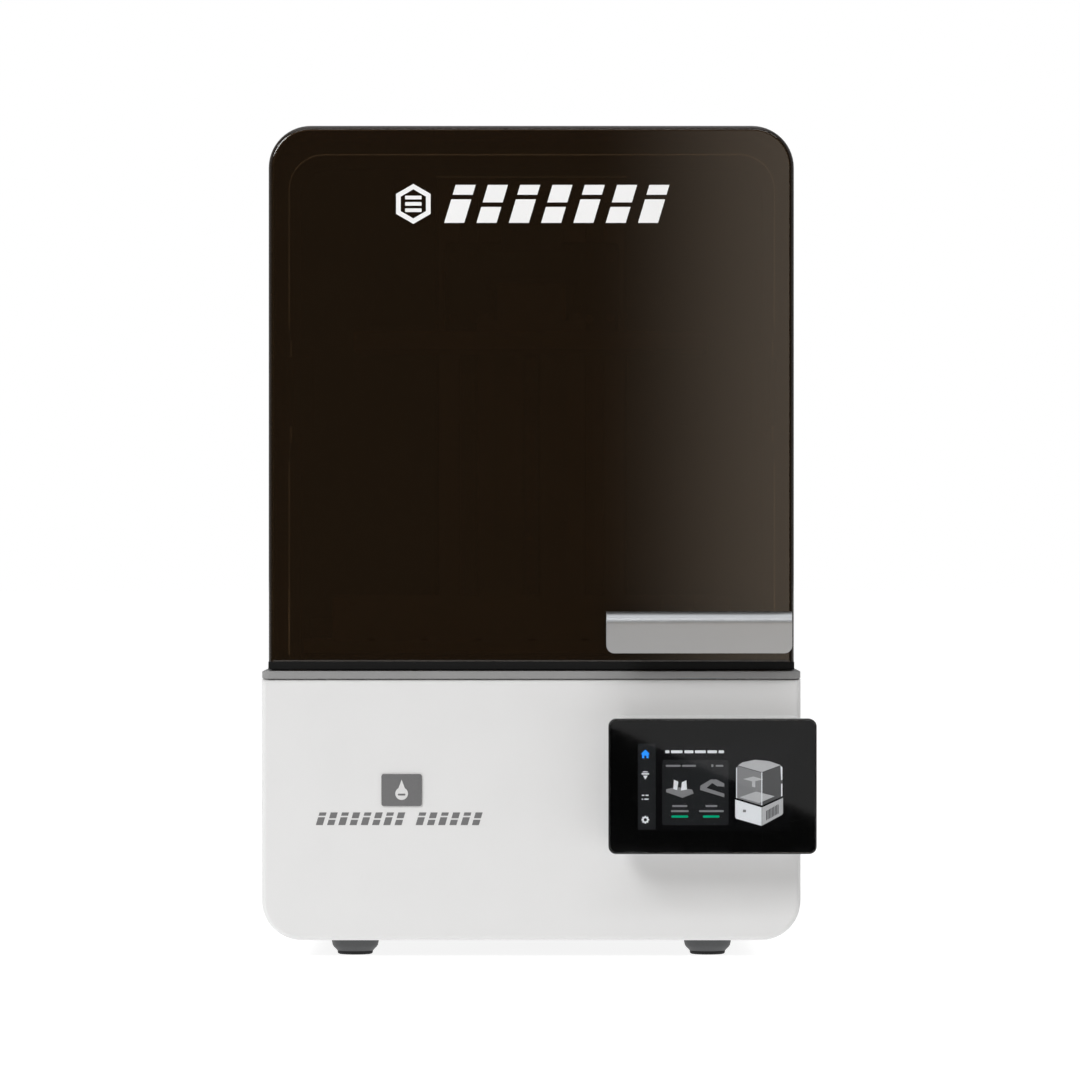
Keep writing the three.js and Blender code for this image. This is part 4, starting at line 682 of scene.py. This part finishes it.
def hood_seal():
    """A black rubber channel that grips the hood's lower edge at the front and sides."""
    low, _ = node_box("hood_gasket")
    proud, top = 0.15, hood_low.z + 2.4

    def track(inset, back):
        return rectangle(hood_low.x + inset, hood_high.x - inset, hood_low.y + inset, back,
                         (1.5, 1.5, 0.05, 0.05), 4)

    rear = hood_high.y - HOOD_REAR_CORNER
    band = slab(track(-proud, rear), low.z, top, upright, 0.5, 0.4)
    core = slab(track(WALL + proud, rear + 5), low.z - PAST, top + PAST, upright)
    groove = cut(slab(track(-HAIR, rear + 5), hood_low.z - 0.02, top + PAST, upright),
                 slab(track(WALL + HAIR, rear + 6), hood_low.z - PAST, top + 2, upright))
    piece("hood_seal", cut(band, core, groove), gasket_rubber, "hood", ("hood_gasket",))


def light_shield():
    """A thin black frame in the plane of the hinges that closes the gap between the tower and the hood,
    and a small baffle behind each hinge."""
    tower_low, tower_high = node_box("rear_housing")
    leaf_low, leaf_high = node_box("hinge_leaf_left")
    y = middle("hinge_leaf_left")[1]
    near, far = y - SHIELD_TOOL, y + SHIELD_TOOL
    plate = slab(arch(WALL + SHIELD_GAP, deck_high.z + SHIELD_GAP), y - SHIELD_HALF, y + SHIELD_HALF, frontal)
    inner_left, inner_right = tower_low.x - SHIELD_GAP, tower_high.x + SHIELD_GAP
    tower = rectangle(inner_left, inner_right, tower_low.z - 40, tower_high.z + SHIELD_GAP,
                      (0.1, 0.1, TOWER_CORNER, TOWER_CORNER))
    windows, baffles = [], []
    for side, x0, x1 in (("left", hood_low.x + WALL + SHIELD_GAP, inner_left),
                         ("right", inner_right, hood_high.x - WALL - SHIELD_GAP)):
        for node, room, reach in ((f"hinge_bracket_{side}", 0.3, 0.3), (f"hinge_leaf_{side}", 0.6, 11.0)):
            low, high = node_box(node)
            windows.append(block(low.x - room, high.x + room, near, far, low.z - reach, high.z + reach))
        baffles.append(block(x0, x1, y + BAFFLE_NEAR, y + BAFFLE_FAR, leaf_low.z - BAFFLE_UNDER,
                             leaf_high.z + BAFFLE_OVER, 0.3))
    shield = cut(plate, slab(tower, near, far, frontal), *windows)
    piece("light_shield", group(shield, *baffles), tower_black, "base", bevel=0.2)


def handle():
    """An aluminium strip bent into a hook that is open downwards."""
    low, high = node_box("hood_handle")
    bend, inner = HANDLE_BEND, HANDLE_BEND - HANDLE_THICK
    top = high.z - bend
    hook = [(high.y, low.z), *arc(high.y - bend, top, bend, 0, 90), *arc(low.y + bend, top, bend, 90, 180),
            (low.y, low.z), (low.y + HANDLE_THICK, low.z), *arc(low.y + bend, top, inner, 180, 90),
            *arc(high.y - bend, top, inner, 90, 0), (high.y - HANDLE_THICK, low.z)]
    strip = slab(polygon(hook), low.x, high.x, sideways)
    face = rectangle(low.x, high.x, low.z, high.z + 10, HANDLE_CORNER)
    bent = boolean("INTERSECT", strip, slab(face, low.y - PAST, high.y + PAST, frontal))
    piece("handle_bar", bent, handle_aluminium, "hood", ("hood_handle",), bevel=0.4)


# -------------------------------------------------------------------------------------- lift, vat and inside

CLAMP_GRIP, CLAMP_STEM, CLAMP_LOBES = 19.7, 4.0, 40  # grip height, stem radius, ribs
VAT_GRIP, VAT_STEM, VAT_LOBES = 13.6, 2.9, 28
RIB_DEPTH = 0.35
JOURNAL_RADIUS, THREAD_PITCH, THREAD_DEPTH = 5.0, 5.0, 0.9
THREAD_SIDES, THREAD_RINGS = 24, 8  # sides to the screw, and rings to each turn of its thread
BEARING_GAP = 0.6
VAT_FLANGE, ARM_FLANGE = 7.8, 6.4  # height of the vat's flange, and thickness of the arm's
COVER_SCREW_HEIGHTS = (300, 400)  # between the rear cover's corner screws
BOTTOM_SCREW_Y = MIDDLE + 8  # the middle pair, just behind the row frame's origin


def knurled(node, radius, low, high, lobes):
    """A knob with a finely ribbed grip and a dished top."""
    x, y, _ = middle(node)
    grip = [(radius - 1.6, low), (radius - 0.2, low + 1.2), (radius, low + 1.6), (radius, high - 1.6),
            (radius - 0.3, high - 0.6), (radius - 1.4, high), (radius - 3.0, high),
            (radius - 3.8, high - 1.0), (0.4, high - 1.2)]

    def ribbed(r, angle):
        return r - (RIB_DEPTH if r > radius - 1.0 else 0.0) * (0.5 - 0.5 * math.cos(lobes * angle))

    return turned(grip, x, y, steps=lobes * 6, shape=ribbed)


def knobs():
    for node in ("clamp_knob", "vat_knob_left", "vat_knob_right"):
        if node == "clamp_knob":
            grip, stem, lobes = CLAMP_GRIP, CLAMP_STEM, CLAMP_LOBES
        else:
            grip, stem, lobes = VAT_GRIP, VAT_STEM, VAT_LOBES
        low, high = node_box(node)
        x, y, _ = middle(node)
        grip_low = high.z - grip
        solids = [knurled(node, (high.x - low.x) / 2, grip_low, high.z, lobes),
                  turned([(stem - 0.6, low.z), (stem, low.z + 0.6), (stem, grip_low - 0.02)], x, y, steps=24)]
        piece(f"{node}_grip", group(*solids), knob_plastic, node, (node,), smooth=50)


def lead_screw():
    """The lift screw, with a real helical thread between its plain ends."""
    low, high = node_box("z_screw")
    bottom = node_box("screw_lower_bearing")[1].z + BEARING_GAP
    top = node_box("screw_upper_bearing")[0].z - BEARING_GAP
    x, y, _ = middle("z_screw")
    radius = (high.x - low.x) / 2
    count = int((top - bottom) / (THREAD_PITCH / THREAD_RINGS))
    profile = [(JOURNAL_RADIUS, low.z), (JOURNAL_RADIUS, bottom)]
    profile += [(radius, bottom + (top - bottom) * k / count) for k in range(1, count)]
    profile += [(JOURNAL_RADIUS, top), (JOURNAL_RADIUS, high.z)]
    rings = []
    for r, w in profile:
        points = []
        for k in range(THREAD_SIDES):
            angle = math.tau * k / THREAD_SIDES
            wave = math.cos(math.tau * w / THREAD_PITCH - angle)
            depth = THREAD_DEPTH * min(1.0, max(0.0, 0.5 - 1.2 * wave))
            reach = r - (depth if r > JOURNAL_RADIUS else 0.0)
            points.append((x + reach * math.cos(angle), y + reach * math.sin(angle), w))
        rings.append(points)
    piece("lead_screw", loft(rings), bright_steel, "drive_screw", ("z_screw",), smooth=60)


def screw_head(u, v, w, radius, height, turn, outward=1):
    """A socket-head screw: a chamfered round head with a six-sided recess, standing on w."""
    def hexed(r, angle):
        if r > radius * 0.62:
            return r
        return r * math.cos(math.pi / 6) / math.cos((angle % (math.pi / 3)) - math.pi / 6)

    profile = [(radius, w), (radius, w + outward * height * 0.8), (radius * 0.85, w + outward * height),
               (radius * 0.6, w + outward * height), (radius * 0.6, w + outward * height * 0.45)]
    return turned(profile, u, v, turn, 24, hexed)


def screws(name, look, body, *places):
    """One piece of screws. A place is its (u, v) spots and the rest of what screw_head takes."""
    piece(name, group(*[screw_head(u, v, *rest) for spots, *rest in places for u, v in spots]), look, body)


def spots(us, vs):
    return [(u, v) for u in us for v in vs]


def fasteners():
    """Screws, one group to each place: steel where they clamp metal, black on the covers."""
    low, high = node_box("base_bottom_plate")
    edge = spots((low.x + 12, high.x - 12), (low.y + 50, BOTTOM_SCREW_Y, high.y - 50))
    screws("bottom_screws", black_steel, "base",
           (edge + [(MIDDLE, high.y - 12)], low.z, 2.6, 1.5, upright, -1))
    low, high = node_box("rear_cover")
    edge = spots((low.x + 10, high.x - 10), (low.z + 14, *COVER_SCREW_HEIGHTS, high.z - 24))
    screws("rear_cover_screws", black_steel, "base", (edge, high.y, 2.6, 1.6, frontal))
    low, high = node_box("exhaust_fan_frame")
    inlet_low, inlet_high = node_box("power_inlet")
    inlet_spots = spots((inlet_low.x + 5, inlet_high.x - 5), (middle("power_inlet")[2],))
    screws("rear_screws", black_steel, "base",
           (spots((low.x + 5, high.x - 5), (low.z + 5, high.z - 5)), REAR, 2.4, 1.5, frontal),
           (inlet_spots, inlet_high.y, 2.6, 0.35, frontal))
    low, high = node_box("carriage_plate")
    arm_low, arm_high = node_box("platform_arm")
    arm_spots = spots((arm_low.x + 7, arm_high.x - 7), (arm_low.z + 9, arm_high.z - 9))
    screws("carriage_screws", bright_steel, "z_carriage",
           (spots((low.x + 6.5, high.x - 6.5), (low.z + 10, high.z - 10)), low.y, 3.2, 2.6, frontal, -1),
           (arm_spots, arm_high.y - ARM_FLANGE, 2.9, 2.8, frontal, -1))
    low, high = node_box("vat_body")
    sides = spots((low.x + 8, high.x - 8), (low.y + 30, high.y - 30))
    ends = spots([MIDDLE + k * 34 for k in range(-3, 4)], (low.y + 6.5, high.y - 6.5))
    screws("vat_screws", bright_steel, "base", (sides + ends, low.z + VAT_FLANGE, 2.4, 1.6, upright))


def power_socket():
    """The inlet's three steel pins, and the port's contact tongue."""
    _, high = node_box("power_inlet")
    x, _, z = middle("power_inlet")
    pins = [block(x + dx - 1.1, x + dx + 1.1, high.y - 15, high.y - 2.6, z + dz - 2.1, z + dz + 2.1, 0.4)
            for dx, dz in ((0, 3.2), (-7, -2.6), (7, -2.6))]
    piece("inlet_pins", group(*pins), bright_steel, "base")
    _, high = node_box("usb_port")
    _, y, z = middle("usb_port")
    tongue = block(high.x - 11, high.x - 1.2, y - 5.2, y + 5.2, z + 0.1, z + 2.0, 0.3)
    piece("usb_tongue", tongue, black_plastic, "base")


def vat_lines():
    """Fill lines on the vat's inner wall."""
    low, high = node_box("vat_body")
    left, face = MIDDLE + 60, high.y - 16
    lines = [block(left, left + length, face - 0.12, face + 0.02, low.z + dz, low.z + dz + 0.7)
             for dz, length in ((10, 22), (17, 12), (24, 22))]
    piece("vat_fill_lines", group(*lines), print_white, "base")


def dress_nodes():
    """Finishes for the CAD nodes that stay as they are."""
    dress(black_steel, 0.2, "base_bottom_plate", "z_motor", "rear_cover")
    dress(black_steel, 0.5, "hinge_leaf_left", "hinge_leaf_right", "hinge_bracket_left",
          "hinge_bracket_right")
    dress(circuit_board, 0.2, "mainboard", "led_board")
    dress(satin_aluminium, 0.3, "power_supply", "heat_sink", "screw_coupler", "z_column", "platform_head")
    dress(satin_aluminium, 0.6, "vat_body")
    dress(black_plastic, 0.3, "power_inlet", "power_switch_frame", "light_housing", "exhaust_fan_frame",
          "heat_sink_fan_frame")
    dress(switch_plastic, 0.4, "power_switch_rocker")
    dress(fan_plastic, 0.2, "heat_sink_fan_rotor", "exhaust_fan_rotor")
    dress(bright_steel, 0.15, "usb_port", "motor_shaft")
    dress(bright_steel, 0.4, "z_rail_left", "z_rail_right", "carriage_block_left", "carriage_block_right")
    dress(ribbon, 0.1, "screen_ribbon_cable")
    dress(lens, 0.3, "light_lens")
    dress(lcd_glass, 0.2, "lcd_panel")
    dress(clear_film, 0.1, "vat_film")
    dress(dark_aluminium, 0.3, "lcd_frame", "vat_film_ring", "screw_lower_bearing", "screw_upper_bearing",
          "z_motor_bracket")
    dress(dark_aluminium, 0.7, "carriage_plate", "platform_arm")
    dress(nut_brass, 0.4, "ball_nut")
    dress(platform_aluminium, 0.5, "platform_plate")
    dress(tower_black, 0.5, "rear_housing")


# ---------------------------------------------------------------------------------------------------- studio

VIEW_WIDTH = 681.5  # millimetres across the picture at the base's front face
CAMERA_DISTANCE = 4200.0  # from that face
CAMERA_HEIGHT = 263.2
CAMERA_RIGHT = 5.5  # of the printer's middle
CARD_DISTANCE = 3.0  # metres from the front face to the cards that the hood and the screen mirror
FLOOR_REACH, FLOOR_SIDE = 1.4, 30.0  # metres of floor in front of that face, and to its sides and rear
FLOOR_GLOW, HOOD_CARD_GLOW, SCREEN_CARD_GLOW = 0.88, 1.35, 0.28
FLOOR_COLOUR = (0.35, 0.35, 0.35)
HOOD_CARD_FADE = (0.05, 0.31)  # metres of X
WARM = (1.0, 0.86, 0.7)
LIGHTS = (  # name, place, target, size in metres, watts
    ("key", (-1.85, -2.15, 1.85), (0, 0, 0.15), (1.2, 1.2), 51.0),
    ("overhead", (-0.2, -0.1, 2.6), (0, 0, 0), (2.2, 2.2), 14.0),
    ("strip", (0.1, -1.95, 2.35), (0, -0.15, 0.2), (3.0, 0.35), 13.0),
)
SKY_START, SKY_LOW, SKY_HIGH = -0.75, 0.015, 0.5  # dark towards the front, where the hood mirrors it


def camera():
    data = bpy.data.cameras.new("camera")
    data.sensor_width = 36.0
    data.lens = data.sensor_width * CAMERA_DISTANCE / VIEW_WIDTH
    data.clip_end = 50.0
    obj = bpy.data.objects.new("camera", data)
    obj.location = Vector((MIDDLE + CAMERA_RIGHT, FRONT - CAMERA_DISTANCE, CAMERA_HEIGHT)) * MM
    obj.rotation_euler = (math.radians(90), 0.0, 0.0)
    bpy.context.scene.collection.objects.link(obj)
    bpy.context.scene.camera = obj


def soft_light(name, place, target, size, power):
    data = bpy.data.lights.new(name, "AREA")
    data.shape, data.size, data.size_y, data.energy = "RECTANGLE", size[0], size[1], power
    obj = bpy.data.objects.new(name, data)
    obj.location = place
    obj.rotation_euler = (Vector(target) - Vector(place)).to_track_quat("-Z", "Y").to_euler()
    bpy.context.scene.collection.objects.link(obj)


def stage_sheet(name, corners, strength, colour=(0.02, 0.02, 0.02), tint=(1.0, 1.0, 1.0), fade=None,
                seen=False):
    """A lit sheet of the studio. Fade gives the metres of X over which its glow grows from nothing."""
    mesh = bpy.data.meshes.new(name)
    mesh.from_pydata(corners, [], [tuple(range(len(corners)))])
    look = bpy.data.materials.new(name)
    look.use_nodes = True
    nodes, links = look.node_tree.nodes, look.node_tree.links
    shader = nodes["Principled BSDF"]
    shader.inputs["Base Color"].default_value = (*colour, 1.0)
    shader.inputs["Roughness"].default_value = 0.8
    shader.inputs["Specular IOR Level"].default_value = 0.0
    shader.inputs["Emission Color"].default_value = (*tint, 1.0)
    shader.inputs["Emission Strength"].default_value = strength
    if fade:
        split = nodes.new("ShaderNodeSeparateXYZ")
        links.new(nodes.new("ShaderNodeTexCoord").outputs["Object"], split.inputs["Vector"])
        grow = ranged(nodes, links, split.outputs["X"], 0.0, strength, *fade)
        grow.node.interpolation_type = "SMOOTHSTEP"
        links.new(grow, shader.inputs["Emission Strength"])
    mesh.materials.append(look)
    obj = bpy.data.objects.new(name, mesh)
    obj.visible_camera = seen
    bpy.context.scene.collection.objects.link(obj)


def sky():
    """A soft sky for the printer, and plain white where the camera sees past it."""
    world = bpy.data.worlds.new("studio")
    bpy.context.scene.world = world
    world.use_nodes = True
    nodes, links = world.node_tree.nodes, world.node_tree.links
    split = nodes.new("ShaderNodeSeparateXYZ")
    links.new(nodes.new("ShaderNodeTexCoord").outputs["Generated"], split.inputs["Vector"])
    soft, white = nodes["Background"], nodes.new("ShaderNodeBackground")
    for background in (soft, white):
        background.inputs["Color"].default_value = (1.0, 1.0, 1.0, 1.0)
    links.new(ranged(nodes, links, split.outputs["Y"], SKY_LOW, SKY_HIGH, SKY_START, 0.0),
              soft.inputs["Strength"])
    mix = nodes.new("ShaderNodeMixShader")
    links.new(nodes.new("ShaderNodeLightPath").outputs["Is Camera Ray"], mix.inputs["Fac"])
    links.new(soft.outputs["Background"], mix.inputs[1])
    links.new(white.outputs["Background"], mix.inputs[2])
    links.new(mix.outputs["Shader"], nodes["World Output"].inputs["Surface"])


def studio():
    near, far, side = FRONT * MM - FLOOR_REACH, FLOOR_SIDE, FLOOR_SIDE
    stage_sheet("floor", [(-side, near, 0), (side, near, 0), (side, far, 0), (-side, far, 0)], FLOOR_GLOW,
                FLOOR_COLOUR, seen=True)
    card = FRONT * MM - CARD_DISTANCE
    stage_sheet("hood_card", [(0.0, card, 0.09), (1.0, card, 0.09), (1.0, card, 1.2), (0.0, card, 1.2)],
                HOOD_CARD_GLOW, tint=WARM, fade=HOOD_CARD_FADE)
    stage_sheet("screen_card", [(0.05, card, 0.074), (0.33, card, -0.048), (0.9, card, -0.048),
                                (0.9, card, 0.085), (0.05, card, 0.085)], SCREEN_CARD_GLOW)
    for light in LIGHTS:
        soft_light(*light)
    sky()
    bpy.context.scene.view_settings.view_transform = "Standard"


camera()
studio()
base_shell()
deck()
feet()
front_marks()
screen()
display_picture()
small_printer()
hood()
hood_mark()
hood_seal()
light_shield()
handle()
knobs()
lead_screw()
fasteners()
power_socket()
vat_lines()
dress_nodes()
